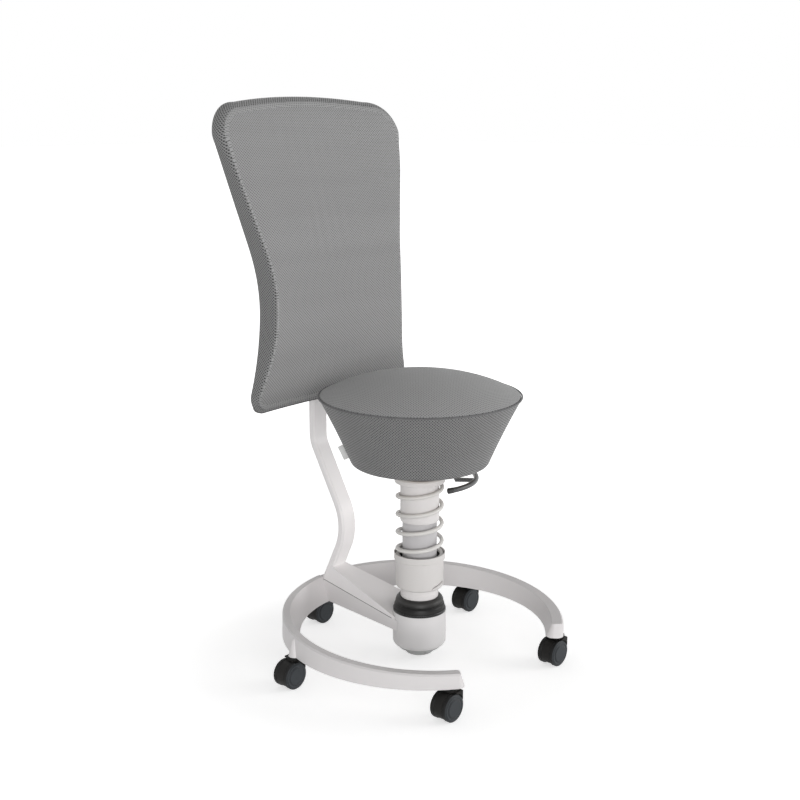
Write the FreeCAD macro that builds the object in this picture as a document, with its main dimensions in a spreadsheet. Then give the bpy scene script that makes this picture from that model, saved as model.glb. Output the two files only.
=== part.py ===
"""Wobble stool with a backrest: an assembly of separate pieces, in millimetres.

The origin is on the floor under the column, +Z is up and the stool faces -Y.
"""
import FreeCAD, Part
import math
import os
import re
import Sketcher

Vector = FreeCAD.Vector
UP = Vector(0, 0, 1)

# Driving sizes in millimetres and degrees, by piece
SIZES = {
    # Running fits and gaps
    "pin_fit": 0.06,
    "slide_fit": 0.08,
    "press_gap": 0.02,
    "seat_gap": 0.3,
    # Foot ring: a C open to the front, sloping up to the back
    "ring_radius": 283.5,
    "ring_shift": 9,
    "ring_underside": 59,
    "ring_top": 97,
    "ring_top_slope": 2.52,
    "ring_foot_width": 36,
    "ring_wall_lean": 23.5,
    "ring_outer_lean": 1.5,
    "ring_top_dish": 6.5,
    "ring_edge": 3,
    "castor_inset": 5.5,
    "castor_spacing": 72,
    "boss_radius": 12.5,
    "boss_top_radius": 6,
    "boss_height": 30,
    "tip_reach": 24.5,
    "tip_round": 16,
    "tip_top_height": 33,
    "tip_top_reach": 13.5,
    "tip_top_round": 4,
    # Arm from the ring to the pot, with the seam that the post's foot sits on
    "arm_front": 12,
    "arm_rear_inset": 17.5,
    "arm_front_half": 53,
    "arm_rear_half": 21,
    "arm_front_underside": 64,
    "seam_front_height": 85.2,
    "seam_rear_height": 105.3,
    "arm_wall": 7,
    "arm_roof": 13,
    "pocket_front": 76,
    "pocket_rear_inset": 57.5,
    # Pot that holds the leaning joint
    "pot_radius": 53.8,
    "pot_wall": 1.7,
    "pot_rim": 100.5,
    "pot_bottom": 28,
    "pot_floor": 12,
    "pot_edge_round": 9.5,
    "lip_height": 5,
    "lip_inset": 0.5,
    # Leaning joint
    "joint_height": 101.5,
    "ear_inside": 15,
    "ear_thickness": 7,
    "ear_half_width": 9,
    "cross_pin_radius": 5,
    "cross_block": 20,
    "yoke_base_radius": 30,
    "yoke_base_thickness": 8,
    "buffer_inner_radius": 33,
    "buffer_top": 72,
    "dome_radius": 51.8,
    "dome_wall": 4,
    "dome_bottom": 87,
    "dome_top": 131,
    # Column
    "neck_radius": 38.2,
    "neck_top": 150.5,
    "foot_plate_bottom": 118,
    "foot_plate_thickness": 6,
    "foot_plate_radius": 32.5,
    "foot_bore": 28.5,
    "spigot_height": 10,
    "guide_radius": 34.6,
    "guide_wall": 3,
    "guide_top": 318,
    "bump_radius": 20,
    "bump_bore": 9,
    "bump_height": 9,
    "cup_radius": 48.3,
    "cup_rim_radius": 51.3,
    "cup_rim_height": 14,
    "cup_top": 223,
    "cup_ledge": 212,
    "cup_mouth": 49.3,
    "cup_edge": 6,
    "slit_length": 34,
    "slit_height": 3,
    "slit_depth": 5,
    "slit_lean": 14,
    "slit_azimuth": -86,
    "tube_radius": 38.9,
    "tube_wall": 2.5,
    "tube_bottom": 289,
    "tube_edge": 2,
    "plate_radius": 50.3,
    "plate_bottom": 369,
    "plate_thickness": 12,
    "plate_edge": 2.5,
    "bush_height": 22,
    "bush_inset": 2,
    # Coil spring
    "wire_diameter": 8.4,
    "spring_mean_radius": 44.4,
    "spring_pitch": 37,
    "spring_face_height": 237,
    "spring_face_azimuth": 221.6,
    "spring_end_turns": 0.6,
    "spring_rise_turns": 0.75,
    # Gas spring and its carrier
    "carrier_radius": 27,
    "carrier_wall": 3,
    "carrier_bottom": 190,
    "carrier_floor": 5,
    "carrier_flange": 3.5,
    "top_bush_height": 30,
    "bearing_radius": 16,
    "bearing_bore": 8,
    "bearing_height": 6,
    "rod_radius": 5,
    "rod_collar_radius": 10,
    "rod_collar_height": 3,
    "rod_tail": 4,
    "piston_height": 12,
    "piston_top": 372,
    "cylinder_radius": 14,
    "cylinder_wall": 3,
    "cylinder_bottom": 212,
    "cylinder_end": 8,
    "cylinder_top": 398,
    "valve_radius": 4,
    "valve_length": 16,
    # Seat hub and release lever
    "lever_azimuth": -51,
    "hub_radius": 24,
    "hub_bottom": 385,
    "hub_plate_bottom": 413,
    "hub_plate_thickness": 4,
    "hub_plate_half_length": 65,
    "hub_plate_half_width": 50,
    "hub_block_half_width": 15,
    "hub_block_bottom": 391,
    "hub_block_end": 52,
    "lever_bar_bottom": 403,
    "lever_bar_height": 6,
    "lever_bar_half_width": 5,
    "lever_slot_gap": 0.6,
    "lever_nose": 6,
    "lever_pivot": 40,
    "lever_pin_radius": 2.5,
    "lever_eye_radius": 5.4,
    "lever_drop_start": 56,
    "lever_drop_end": 70,
    "lever_drop": 33,
    "lever_bar_end": 112,
    "grip_radius": 5.2,
    "grip_height": 378,
    "grip_arc_radius": 111.3,
    "grip_sweep": 55.5,
    "grip_tail": 12,
    "hub_screw_radius": 3,
    "hub_screw_head": 5.5,
    "hub_screw_reach": 10,
    "hub_screw_x": 54,
    "hub_screw_y": 38,
    # Seat
    "board_radius": 126,
    "board_thickness": 12,
    "board_hole": 20,
    "hem_radius": 134,
    "hem_height": 407,
    "hem_round": 11,
    "rim_radius": 200,
    "rim_height": 544,
    "skirt_draw": 2,
    "crown_height": 45,
    "piping_radius": 2.2,
    "tag_width": 10,
    "tag_height": 30,
    "tag_thickness": 1.4,
    "tag_azimuth": 131,
    "tag_rise": 9,
    "tag_inset": 0.5,
    # Firmness wheel under the pot
    "wheel_knob_radius": 30,
    "wheel_knob_bottom": 10.5,
    "wheel_flange_radius": 43,
    "wheel_flange_thickness": 5.5,
    "wheel_notch_radius": 5,
    "wheel_notch_count": 6,
    "stud_radius": 7.92,
    "stud_top": 44,
    # Back post
    "post_width": 40,
    "post_depth": 17,
    "post_bevel": 4,
    "post_foot_inset": 21,
    "post_foot_z": 84,
    "post_bend_y": 191.1,
    "post_bend_z": 233.5,
    "post_bend_round": 106,
    "post_top_y": 287.5,
    "post_shoulder_z": 403.8,
    "post_shoulder_round": 60,
    "post_top_z": 640,
    "foot_rear_inset": 28.5,
    "foot_rear_slim": 4,
    "foot_rear_lean": 11,
    "foot_rear_height": 36.3,
    "foot_front": 21,
    "foot_front_slim": 1,
    "foot_front_height": 5,
    "post_screw_radius": 4,
    "post_screw_head": 6.5,
    "post_screw_reach": 14,
    "post_screw_inset": 143.5,
    "post_screw_step": 35,
    # Backrest, sizes on its middle line
    "back_bottom": 497,
    "back_top": 1111,
    "back_front_bottom_y": 260,
    "back_lumbar_y": 209.3,
    "back_lumbar_z": 709.4,
    "back_lumbar_round": 431,
    "back_front_top_y": 320,
    "back_rear_y": 276,
    "back_rear_bend_z": 745,
    "back_rear_bend_round": 600,
    "back_rear_top_y": 349,
    "back_bow_radius": 1300,
    "back_foot_half": 214.5,
    "back_foot_z": 537,
    "back_waist_half": 181,
    "back_waist_z": 715,
    "back_shoulder_half": 246,
    "back_shoulder_z": 1038,
    "back_crown": 18,
    "back_top_corner": 70,
    "back_foot_corner": 34,
    "back_edge_round": 8,
    "shell_thickness": 9,
    "shell_inset": 16,
    "back_screw_radius": 2.5,
    "back_screw_head": 5,
    "back_screw_x": 11,
    "back_screw_low": 532,
    "back_screw_high": 612,
    # Castors
    "wheel_radius": 26.3,
    "castor_half_width": 20.5,
    "wheel_width": 10.4,
    "wheel_edge": 3,
    "wheel_face_radius": 19,
    "wheel_face_step": 0.8,
    "castor_trail": 14,
    "hood_radius": 25.7,
    "hood_skirt": 9,
    "cap_half_width": 19.5,
    "cap_round": 5,
    "wheel_gap": 1,
    "collar_radius": 15,
    "collar_height": 5.2,
    "hood_gap": 0.6,
    "stem_radius": 5,
    "stem_bottom": 36,
    "stem_length": 40,
    "axle_radius": 3,
    "axle_inset": 4,
}

doc = FreeCAD.newDocument("WobbleStool")
sheet = doc.addObject("Spreadsheet::Sheet", "Sizes")
for row, (alias, amount) in enumerate(SIZES.items(), 1):
    sheet.set("A%d" % row, alias)
    sheet.set("B%d" % row, str(amount))
    sheet.setAlias("B%d" % row, alias)
doc.recompute()

pieces = {}


def named(text):
    """Put the sheet's name before each size in an expression."""
    def with_sheet(word):
        return ("Sizes." if word[0] in SIZES else "") + word[0]

    return re.sub(r"[a-z][a-z_]+", with_sheet, text)


def value(text):
    """The number that an expression of sizes comes to."""
    return float(sheet.evalExpression(named(text)))


def place(item, x="0", y="0", z="0", axis=UP, angle="0"):
    """Set an object down at a point, turned about an axis, all bound to sizes."""
    item.Placement = FreeCAD.Placement(Vector(0, 0, 0), FreeCAD.Rotation(axis, 1))
    for side, text in zip("xyz", (x, y, z)):
        item.setExpression("Placement.Base." + side, named(text))
    item.setExpression("Placement.Rotation.Angle", named(angle))
    return item


def keep(item):
    """List a finished piece under its own label."""
    pieces[item.Label] = item
    return item


def solid(kind, label, sizes, x="0", y="0", z="0", axis=UP, angle="0"):
    """A Part primitive with its sizes and place bound to the sheet."""
    item = doc.addObject("Part::" + kind, label)
    for prop, text in sizes.items():
        item.setExpression(prop, named(text))
    return place(item, x, y, z, axis, angle)


def bar(label, radius, height, x="0", y="0", z="0", axis=UP, angle="0"):
    """A round bar or bore along its own +Z."""
    return solid("Cylinder", label, {"Radius": radius, "Height": height}, x, y, z, axis, angle)


def block(label, low, high):
    """A box between two corners."""
    spans = ["(%s) - (%s)" % pair for pair in zip(high, low)]
    return solid("Box", label, dict(zip(("Length", "Width", "Height"), spans)), *low)


def fuse(label, items):
    item = doc.addObject("Part::MultiFuse", label)
    item.Shapes = items
    return item


def cut(label, base, tools):
    item = doc.addObject("Part::Cut", label)
    item.Base = base
    item.Tool = tools[0] if len(tools) == 1 else fuse(label + "_tools", tools)
    return item


def soft_corners(label, base, round_size):
    """Round the far upright edges and the far top edge of a box."""
    doc.recompute()
    item = doc.addObject("Part::Fillet", label)
    item.Base = base
    box = base.Shape.BoundBox
    radius = value(round_size)
    picked = []
    for index, edge in enumerate(base.Shape.Edges, 1):
        middle = edge.BoundBox.Center
        far = abs(middle.x - box.XMax) < 1e-6
        if far and abs(middle.z - box.ZMin) > 1e-6:
            picked.append((index, radius, radius))
    item.Edges = picked
    return item


def feature(label, shape):
    item = doc.addObject("Part::Feature", label)
    item.Shape = shape
    return item


def hold(sketch, kind, axis, line, text):
    """Fix one coordinate of a line's start to a size, or to the axis where it is zero."""
    amount = value(text)
    if abs(amount) < 1e-9:
        sketch.addConstraint(Sketcher.Constraint("PointOnObject", line, 1, axis))
        return
    index = sketch.addConstraint(Sketcher.Constraint(kind, -1, 1, line, 1, amount))
    name = "%s_%d" % (kind, line)
    sketch.renameConstraint(index, name)
    sketch.setExpression("Constraints." + name, named(text))


def outline_sketch(body, plane, outline):
    """A closed outline of straight lines through (across, up) sizes on an origin plane."""
    sketch = body.newObject("Sketcher::SketchObject", body.Label + "_outline")
    sketch.AttachmentSupport = [(item, "") for item in body.Origin.OriginFeatures if item.Role == plane]
    sketch.MapMode = "FlatFace"
    points = [Vector(value(across), value(up), 0) for across, up in outline]
    count = len(points)
    for index in range(count):
        sketch.addGeometry(Part.LineSegment(points[index], points[(index + 1) % count]), False)
    for index in range(count):
        sketch.addConstraint(Sketcher.Constraint("Coincident", index, 2, (index + 1) % count, 1))
    for index, (across, up) in enumerate(outline):
        hold(sketch, "DistanceX", -2, index, across)
        hold(sketch, "DistanceY", -1, index, up)
    return sketch


def lathe(label, outline, rounds=()):
    """A turned piece: an outline of (radius, height) sizes about its own Z, with rounded rims."""
    body = doc.addObject("PartDesign::Body", label)
    sketch = outline_sketch(body, "XZ_Plane", outline)
    turn = body.newObject("PartDesign::Revolution", label + "_turn")
    turn.Profile = sketch
    turn.ReferenceAxis = (sketch, ["V_Axis"])
    turn.Angle = 360
    doc.recompute()
    for number, (radius, height, round_size) in enumerate(rounds):
        base = body.Tip
        names = []
        for index, edge in enumerate(base.Shape.Edges, 1):
            curve = edge.Curve
            if isinstance(curve, Part.Circle) and abs(curve.Radius - value(radius)) < 1e-4 \
                    and abs(curve.Center.z - value(height)) < 1e-4:
                names.append("Edge%d" % index)
        soft = body.newObject("PartDesign::Fillet", "%s_round_%d" % (label, number))
        soft.Base = (base, names)
        soft.setExpression("Radius", named(round_size))
        doc.recompute()
    return body


def padded_plate(label, plane, outline, half_width):
    """A plate with an outline on an origin plane, as thick on both sides of it."""
    body = doc.addObject("PartDesign::Body", label)
    sketch = outline_sketch(body, plane, outline)
    pad = body.newObject("PartDesign::Pad", label + "_pad")
    pad.Profile = sketch
    pad.Midplane = True
    pad.setExpression("Length", named("2*(%s)" % half_width))
    doc.recompute()
    return body


def corner_arc(before, corner, after, radius):
    """The arc of a radius that rounds a corner between two straight runs."""
    back = (before - corner).normalize()
    ahead = (after - corner).normalize()
    half = back.getAngle(ahead) / 2
    reach = radius / math.tan(half)
    middle = (back + ahead).normalize()
    apex = corner + middle * (radius / math.sin(half) - radius)
    return Part.Arc(corner + back * reach, apex, corner + ahead * reach)


def rounded_run(points, radii):
    """Edges of straight runs through points, with the inner corners rounded."""
    edges = []
    start = points[0]
    for index, radius in enumerate(radii, 1):
        arc = corner_arc(points[index - 1], points[index], points[index + 1], radius)
        edges.append(Part.LineSegment(start, arc.StartPoint).toShape())
        edges.append(arc.toShape())
        start = arc.EndPoint
    edges.append(Part.LineSegment(start, points[-1]).toShape())
    return edges


def pipe(path, section):
    """A solid of one section carried along a path."""
    shell = Part.BRepOffsetAPI.MakePipeShell(path)
    shell.add(section)
    shell.build()
    shell.makeSolid()
    return shell.shape()


def ring_wire(centre, direction, radius):
    return Part.Wire(Part.Circle(centre, direction, radius).toShape())


# Foot ring, arm and pot: one casting
arm_rear = "(ring_radius - arm_rear_inset)"
pocket_rear = "(ring_radius - pocket_rear_inset)"
castor_circle = "(ring_radius - castor_inset)"
post_screw_first = "(ring_radius - post_screw_inset)"
CASTORS = {"right_front": -1, "left_front": 1, "right_rear": -3, "left_rear": 3, "back": 5}


def castor_spot(steps):
    """The stem's x and y for a castor, counted in half spacings from the front."""
    turn = "%d*castor_spacing/2" % steps
    return "%s*sin(%s)" % (castor_circle, turn), "-%s*cos(%s)" % (castor_circle, turn)


REACH = "(2*ring_radius)"
ring_blank_top = "ring_top + 2*ring_radius*sin(ring_top_slope)/2 + ring_shift"


def ring_walls(height):
    """The ring's inner and outer radius at a height: both walls lean in towards the top face."""
    rise = "(%s - ring_underside)" % height
    return ("(ring_radius - ring_foot_width + %s*tan(ring_wall_lean))" % rise,
            "(ring_radius - %s*tan(ring_outer_lean))" % rise)


blank_inner, blank_outer = ring_walls("(%s)" % ring_blank_top)
ring_inner = "(ring_radius - ring_foot_width)"
ring_blank = lathe("ring_blank", [
    (ring_inner, "ring_underside"),
    ("ring_radius", "ring_underside"),
    (blank_outer, ring_blank_top),
    (blank_inner, ring_blank_top),
])
place(ring_blank, y="-ring_shift")
tip_x, tip_y = castor_spot(1)
tip_angle = "atan(%s/(0 - (%s) - ring_shift))" % (tip_x, tip_y)
mouth_half = REACH + "*tan(%s)" % tip_angle
mouth = solid("Wedge", "ring_mouth", {
    "Ymin": "-" + REACH, "Ymax": "0", "Xmin": "-" + mouth_half, "Xmax": mouth_half,
    "X2min": "0", "X2max": "0", "Zmin": "0", "Zmax": "2*ring_top", "Z2min": "0", "Z2max": "2*ring_top"},
    y="-ring_shift")
ring_arc = cut("ring_arc", ring_blank, [mouth])


def ring_tip(side):
    """An end that carries the ring's own section on: blunt at the top, rounder and longer at the foot."""
    turn = math.radians(value(tip_angle)) * side
    outward = Vector(math.sin(turn), -math.cos(turn), 0)
    ahead = Vector(-math.cos(turn), -math.sin(turn), 0) * side
    tip_top = "(ring_underside + tip_top_height)"
    rows = []
    for height, reach_size, round_size in (("ring_underside", "tip_reach", "tip_round"),
                                           (tip_top, "tip_top_reach", "tip_top_round")):
        inner, outer = [value(text) for text in ring_walls(height)]
        reach, soft = value(reach_size), value(round_size)
        near = soft * (1 - math.sqrt(0.5))

        def spot(across, along):
            return Vector(0, -value("ring_shift"), value(height)) + outward * across + ahead * along

        start, corner, middle = spot(inner, 0), spot(inner, reach - soft), spot(inner + near, reach - near)
        front, far_front = spot(inner + soft, reach), spot(outer - soft, reach)
        far_middle, far_corner, end = spot(outer - near, reach - near), spot(outer, reach - soft), spot(outer, 0)
        rows.append(Part.Wire([
            Part.LineSegment(start, corner).toShape(),
            Part.Arc(corner, middle, front).toShape(),
            Part.LineSegment(front, far_front).toShape(),
            Part.Arc(far_front, far_middle, far_corner).toShape(),
            Part.LineSegment(far_corner, end).toShape(),
            Part.LineSegment(end, start).toShape(),
        ]))
    return Part.makeLoft(rows, True, True)


ring_ends = [feature("tip_right", ring_tip(-1)), feature("tip_left", ring_tip(1))]
bosses = []
for name, steps in CASTORS.items():
    boss_x, boss_y = castor_spot(steps)
    if abs(steps) > 1:
        bosses.append(solid("Cone", "boss_" + name, {
            "Radius1": "boss_radius", "Radius2": "boss_top_radius", "Height": "boss_height"},
            boss_x, boss_y, "ring_underside"))
        bosses.append(solid("Sphere", "boss_top_" + name, {"Radius": "boss_top_radius"},
                            boss_x, boss_y, "ring_underside + boss_height"))
ring_with_bosses = fuse("ring_with_bosses", [ring_arc] + ring_ends + bosses)
dish_middle = "(ring_radius - ring_foot_width/3)"
edge_start = "(%s - ring_edge)" % ring_walls("ring_top")[1]
edge_end = "(%s + 2*ring_edge)" % edge_start
edge_height = "(ring_top + (%s - %s)*tan(ring_top_dish))" % (edge_start, dish_middle)
ring_slope_cut = lathe("ring_slope_cut", [
    ("0", "ring_top - %s*tan(ring_top_dish)" % dish_middle),
    (edge_start, edge_height),
    (edge_end, edge_height + " - 2*ring_edge"),
    (edge_end, "3*ring_top"),
    ("0", "3*ring_top"),
])
place(ring_slope_cut, "0", "ring_top*sin(ring_top_slope) - ring_shift", "-ring_shift*tan(ring_top_slope)",
      Vector(1, 0, 0), "ring_top_slope")
seam_rise = "((seam_rear_height - seam_front_height)/(%s - arm_front))" % arm_rear
seam_at = "(seam_front_height + (%s - arm_front)*" + seam_rise + ")"
seam_slope = "atan(%s)" % seam_rise
ring_notch = solid("Box", "ring_notch", {
    "Length": "post_width + 2*seat_gap", "Width": arm_rear, "Height": "ring_top"},
    "-post_width/2 - seat_gap", pocket_rear, seam_at % pocket_rear, Vector(1, 0, 0), seam_slope)
ring = cut("ring", ring_with_bosses, [ring_slope_cut, ring_notch])

arm = solid("Wedge", "arm", {
    "Ymin": "arm_front", "Ymax": arm_rear,
    "Xmin": "-arm_front_half", "Xmax": "arm_front_half", "X2min": "-arm_rear_half", "X2max": "arm_rear_half",
    "Zmin": "arm_front_underside", "Zmax": "seam_front_height",
    "Z2min": "ring_underside", "Z2max": "seam_rear_height"})
arm_half_at = "(arm_front_half - (%s - arm_front)*(arm_front_half - arm_rear_half)" + "/(%s - arm_front))" % arm_rear
pocket_front_half = arm_half_at % "pocket_front" + " - arm_wall"
pocket_rear_half = arm_half_at % pocket_rear + " - arm_wall"
arm_pocket = solid("Wedge", "arm_pocket", {
    "Ymin": "pocket_front", "Ymax": pocket_rear,
    "Xmin": "-(%s)" % pocket_front_half, "Xmax": pocket_front_half,
    "X2min": "-(%s)" % pocket_rear_half, "X2max": pocket_rear_half,
    "Zmin": "0", "Zmax": seam_at % "pocket_front" + " - arm_roof",
    "Z2min": "0", "Z2max": seam_at % pocket_rear + " - arm_roof"})

cavity_radius = "(pot_radius - pot_wall)"
floor_top = "(pot_bottom + pot_floor)"
stud_bore = "(stud_radius + slide_fit)"
pot = lathe("pot", [
    (stud_bore, "pot_bottom"),
    ("pot_radius", "pot_bottom"),
    ("pot_radius", "pot_rim"),
    (cavity_radius, "pot_rim"),
    (cavity_radius, floor_top),
    (stud_bore, floor_top),
], [("pot_radius", "pot_bottom", "pot_edge_round")])
pot_cavity = bar("pot_cavity", cavity_radius, "pot_rim", z=floor_top)
sockets = []
for name, steps in CASTORS.items():
    socket_x, socket_y = castor_spot(steps)
    sockets.append(bar("socket_" + name, "stem_radius + slide_fit", "stem_bottom + stem_length + seat_gap",
                       socket_x, socket_y))

POST_SCREWS = 3


def on_seam(index):
    """The y and z where a post screw crosses the seam between arm and foot."""
    across = "(%s + %d*post_screw_step)" % (post_screw_first, index)
    return across, seam_at % across


roof_square = "(arm_roof*cos(%s))" % seam_slope
post_screw_bores = []
for index in range(POST_SCREWS):
    bore_y, bore_z = on_seam(index)
    deep = "%s + post_screw_head" % roof_square
    post_screw_bores.append(bar("post_screw_bore_%d" % index, "post_screw_radius + seat_gap", deep + " + 1",
                                "0", "%s + (%s)*sin(%s)" % (bore_y, deep, seam_slope),
                                "%s - (%s)*cos(%s)" % (bore_z, deep, seam_slope), Vector(1, 0, 0), seam_slope))
casting = fuse("casting", [ring, arm, pot])
keep(cut("base_frame", casting, [pot_cavity, arm_pocket] + sockets + post_screw_bores))

# Lip ring on the pot's rim
keep(lathe("lip_ring", [
    (cavity_radius, "pot_rim"),
    ("pot_radius - lip_inset", "pot_rim"),
    ("pot_radius - lip_inset", "pot_rim + lip_height*0.8"),
    ("pot_radius - 2*lip_inset", "pot_rim + lip_height"),
    (cavity_radius, "pot_rim + lip_height"),
]))

# Leaning joint: lower yoke on the pot's floor, cross, and the column's foot above
ear_outside = "(ear_inside + ear_thickness)"
TO_X = (Vector(0, 1, 0), "90")
TO_Y = (Vector(1, 0, 0), "-90")


def ears(label, foot, along):
    """Two ears with round ends at the joint's height, facing along X or along Y, and their bore."""
    parts = []
    axis, angle = TO_X if along == "x" else TO_Y
    for side, low in (("plus", "ear_inside"), ("minus", "-" + ear_outside)):
        reach = (low, low + " + ear_thickness")
        wide = ("-ear_half_width", "ear_half_width")
        spans = (reach, wide) if along == "x" else (wide, reach)
        ends = sorted((foot, "joint_height"), key=value)
        parts.append(block("%s_ear_%s" % (label, side), (spans[0][0], spans[1][0], ends[0]),
                           (spans[0][1], spans[1][1], ends[1])))
        start = {"x": "0", "y": "0"}
        start[along] = low
        parts.append(bar("%s_ear_end_%s" % (label, side), "ear_half_width", "ear_thickness",
                         start["x"], start["y"], "joint_height", axis, angle))
    start = {"x": "0", "y": "0"}
    start[along] = "-" + ear_outside
    bore = bar(label + "_pin_bore", "cross_pin_radius + pin_fit", "2*" + ear_outside,
               start["x"], start["y"], "joint_height", axis, angle)
    return parts, bore


yoke_ears, yoke_bore = ears("lower_yoke", floor_top, "x")
yoke_base = bar("yoke_base", "yoke_base_radius", "yoke_base_thickness", z=floor_top)
yoke_stud_bore = bar("yoke_stud_bore", stud_bore, "stud_top", z=floor_top + " - stud_top/2")
keep(cut("lower_yoke", fuse("yoke_blank", [yoke_base] + yoke_ears), [yoke_bore, yoke_stud_bore]))

keep(lathe("tilt_buffer", [
    ("buffer_inner_radius", floor_top),
    (cavity_radius + " - seat_gap", floor_top),
    (cavity_radius + " - seat_gap", "buffer_top"),
    ("buffer_inner_radius", "buffer_top"),
]))

half_block = "cross_block/2"
cross_block = block("cross_block_body", ("-" + half_block, "-" + half_block, "joint_height - " + half_block),
                    (half_block, half_block, "joint_height + " + half_block))
cross_pins = [
    bar("cross_pin_x", "cross_pin_radius", "2*" + ear_outside, "-" + ear_outside, "0", "joint_height", *TO_X),
    bar("cross_pin_y", "cross_pin_radius", "2*" + ear_outside, "0", "-" + ear_outside, "joint_height", *TO_Y),
]
keep(fuse("joint_cross", [cross_block] + cross_pins))

spigot_radius = "(guide_radius - guide_wall - press_gap)"
foot_turned = lathe("foot_turned", [
    ("0", "foot_plate_bottom"),
    ("foot_plate_radius", "foot_plate_bottom"),
    ("foot_plate_radius", "dome_top"),
    ("neck_radius", "dome_top"),
    ("neck_radius", "dome_top + (neck_top - dome_top)*0.45"),
    ("neck_radius - 1", "dome_top + (neck_top - dome_top)*0.52"),
    ("neck_radius - 1", "neck_top"),
    (spigot_radius, "neck_top"),
    (spigot_radius, "neck_top + spigot_height"),
    ("foot_bore", "neck_top + spigot_height"),
    ("foot_bore", "foot_plate_bottom + foot_plate_thickness"),
    ("0", "foot_plate_bottom + foot_plate_thickness"),
])
foot_ears, foot_pin_bore = ears("column_foot", "foot_plate_bottom + foot_plate_thickness/2", "y")
keep(cut("column_foot", fuse("foot_blank", [foot_turned] + foot_ears), [foot_pin_bore]))

# Rubber dome: part of a ball about the joint, so it turns inside the lip
dome_ball = solid("Sphere", "dome_ball", {"Radius": "dome_radius"}, z="joint_height")
dome_hollow = solid("Sphere", "dome_hollow", {"Radius": "dome_radius - dome_wall"}, z="joint_height")
below_dome = bar("below_dome", "2*dome_radius", "2*dome_radius", z="dome_bottom - 2*dome_radius")
above_dome = bar("above_dome", "2*dome_radius", "2*dome_radius", z="dome_top")
keep(cut("rubber_dome", dome_ball, [dome_hollow, below_dome, above_dome]))

# Lower column: guide tube and bump stop
keep(lathe("guide_tube", [
    ("guide_radius - guide_wall", "neck_top"),
    ("guide_radius", "neck_top"),
    ("guide_radius", "guide_top"),
    ("guide_radius - guide_wall", "guide_top"),
]))
bump_foot = "foot_plate_bottom + foot_plate_thickness"
keep(lathe("bump_stop", [
    ("bump_bore", bump_foot),
    ("bump_radius", bump_foot),
    ("bump_radius*0.85", bump_foot + " + bump_height"),
    ("bump_bore", bump_foot + " + bump_height"),
]))

# Spring cup: a turning collar with a rim, a ledge for the spring and a slanted slit
cup_bottom = "neck_top + seat_gap"
cup_rim_bottom = "cup_top - cup_rim_height"
cup_bore = "guide_radius + slide_fit"
cup_turned = lathe("cup_turned", [
    (cup_bore, cup_bottom),
    ("cup_radius", cup_bottom),
    ("cup_radius", cup_rim_bottom),
    ("cup_rim_radius", cup_rim_bottom + " + (cup_rim_radius - cup_radius)/2"),
    ("cup_rim_radius", "cup_top"),
    ("cup_mouth", "cup_top"),
    ("cup_mouth", "cup_ledge"),
    (cup_bore, "cup_ledge"),
], [("cup_radius", cup_bottom, "cup_edge")])
slit = solid("Box", "cup_slit", {"Length": "2*slit_depth", "Width": "slit_length", "Height": "slit_height"},
             "cup_radius - slit_depth", "-slit_length/2", cup_bottom + " + cup_edge", Vector(1, 0, 0), "slit_lean")
slit_end = solid("Box", "cup_slit_end", {"Length": "2*slit_depth", "Width": "slit_height", "Height": "2*slit_height"},
                 "cup_radius - slit_depth", "slit_length/2 - slit_height", cup_bottom + " + cup_edge + slit_height")
slit_turned = fuse("slit_turned", [slit, slit_end])
place(slit_turned, angle="slit_azimuth")
keep(cut("spring_cup", cup_turned, [slit_turned]))

# Upper column: outer tube, spring plate and guide bush
tube_bore = "(tube_radius - tube_wall)"
plate_top = "(plate_bottom + plate_thickness)"
keep(lathe("upper_tube", [
    (tube_bore, "tube_bottom"),
    ("tube_radius - tube_edge/2", "tube_bottom"),
    ("tube_radius", "tube_bottom + tube_edge"),
    ("tube_radius", plate_top),
    (tube_bore, plate_top),
]))
keep(lathe("spring_plate", [
    ("tube_radius + press_gap", "plate_bottom"),
    ("plate_radius", "plate_bottom"),
    ("plate_radius", plate_top + " - plate_edge"),
    ("plate_radius - plate_edge", plate_top),
    ("tube_radius + press_gap", plate_top),
], [("plate_radius", "plate_bottom", "plate_edge/2")])
)
bush_foot = "tube_bottom + bush_inset"
keep(lathe("guide_bush", [
    ("guide_radius + slide_fit", bush_foot),
    (tube_bore + " - press_gap", bush_foot),
    (tube_bore + " - press_gap", bush_foot + " + bush_height"),
    ("guide_radius + slide_fit", bush_foot + " + bush_height"),
]))

# Carrier tube hung from the plate, with the top bush and the thrust bearing for the gas spring
carrier_bore = "(carrier_radius - carrier_wall)"
keep(lathe("gas_carrier", [
    ("rod_radius + seat_gap", "carrier_bottom"),
    ("carrier_radius", "carrier_bottom"),
    ("carrier_radius", plate_top + " - carrier_flange"),
    (tube_bore + " - press_gap", plate_top + " - carrier_flange"),
    (tube_bore + " - press_gap", plate_top),
    (carrier_bore, plate_top),
    (carrier_bore, "carrier_bottom + carrier_floor"),
    ("rod_radius + seat_gap", "carrier_bottom + carrier_floor"),
]))
keep(lathe("top_bush", [
    ("cylinder_radius + slide_fit", plate_top + " - top_bush_height"),
    (carrier_bore + " - press_gap", plate_top + " - top_bush_height"),
    (carrier_bore + " - press_gap", plate_top),
    ("cylinder_radius + slide_fit", plate_top),
]))
bearing_foot = "carrier_bottom + carrier_floor"
bearing_top = bearing_foot + " + bearing_height"
keep(lathe("thrust_bearing", [
    ("bearing_bore", bearing_foot),
    ("bearing_radius", bearing_foot),
    ("bearing_radius", bearing_foot + " + bearing_height*0.3"),
    ("bearing_radius - 1", bearing_foot + " + bearing_height*0.35"),
    ("bearing_radius - 1", bearing_foot + " + bearing_height*0.65"),
    ("bearing_radius", bearing_foot + " + bearing_height*0.7"),
    ("bearing_radius", bearing_top),
    ("bearing_bore", bearing_top),
]))

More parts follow.
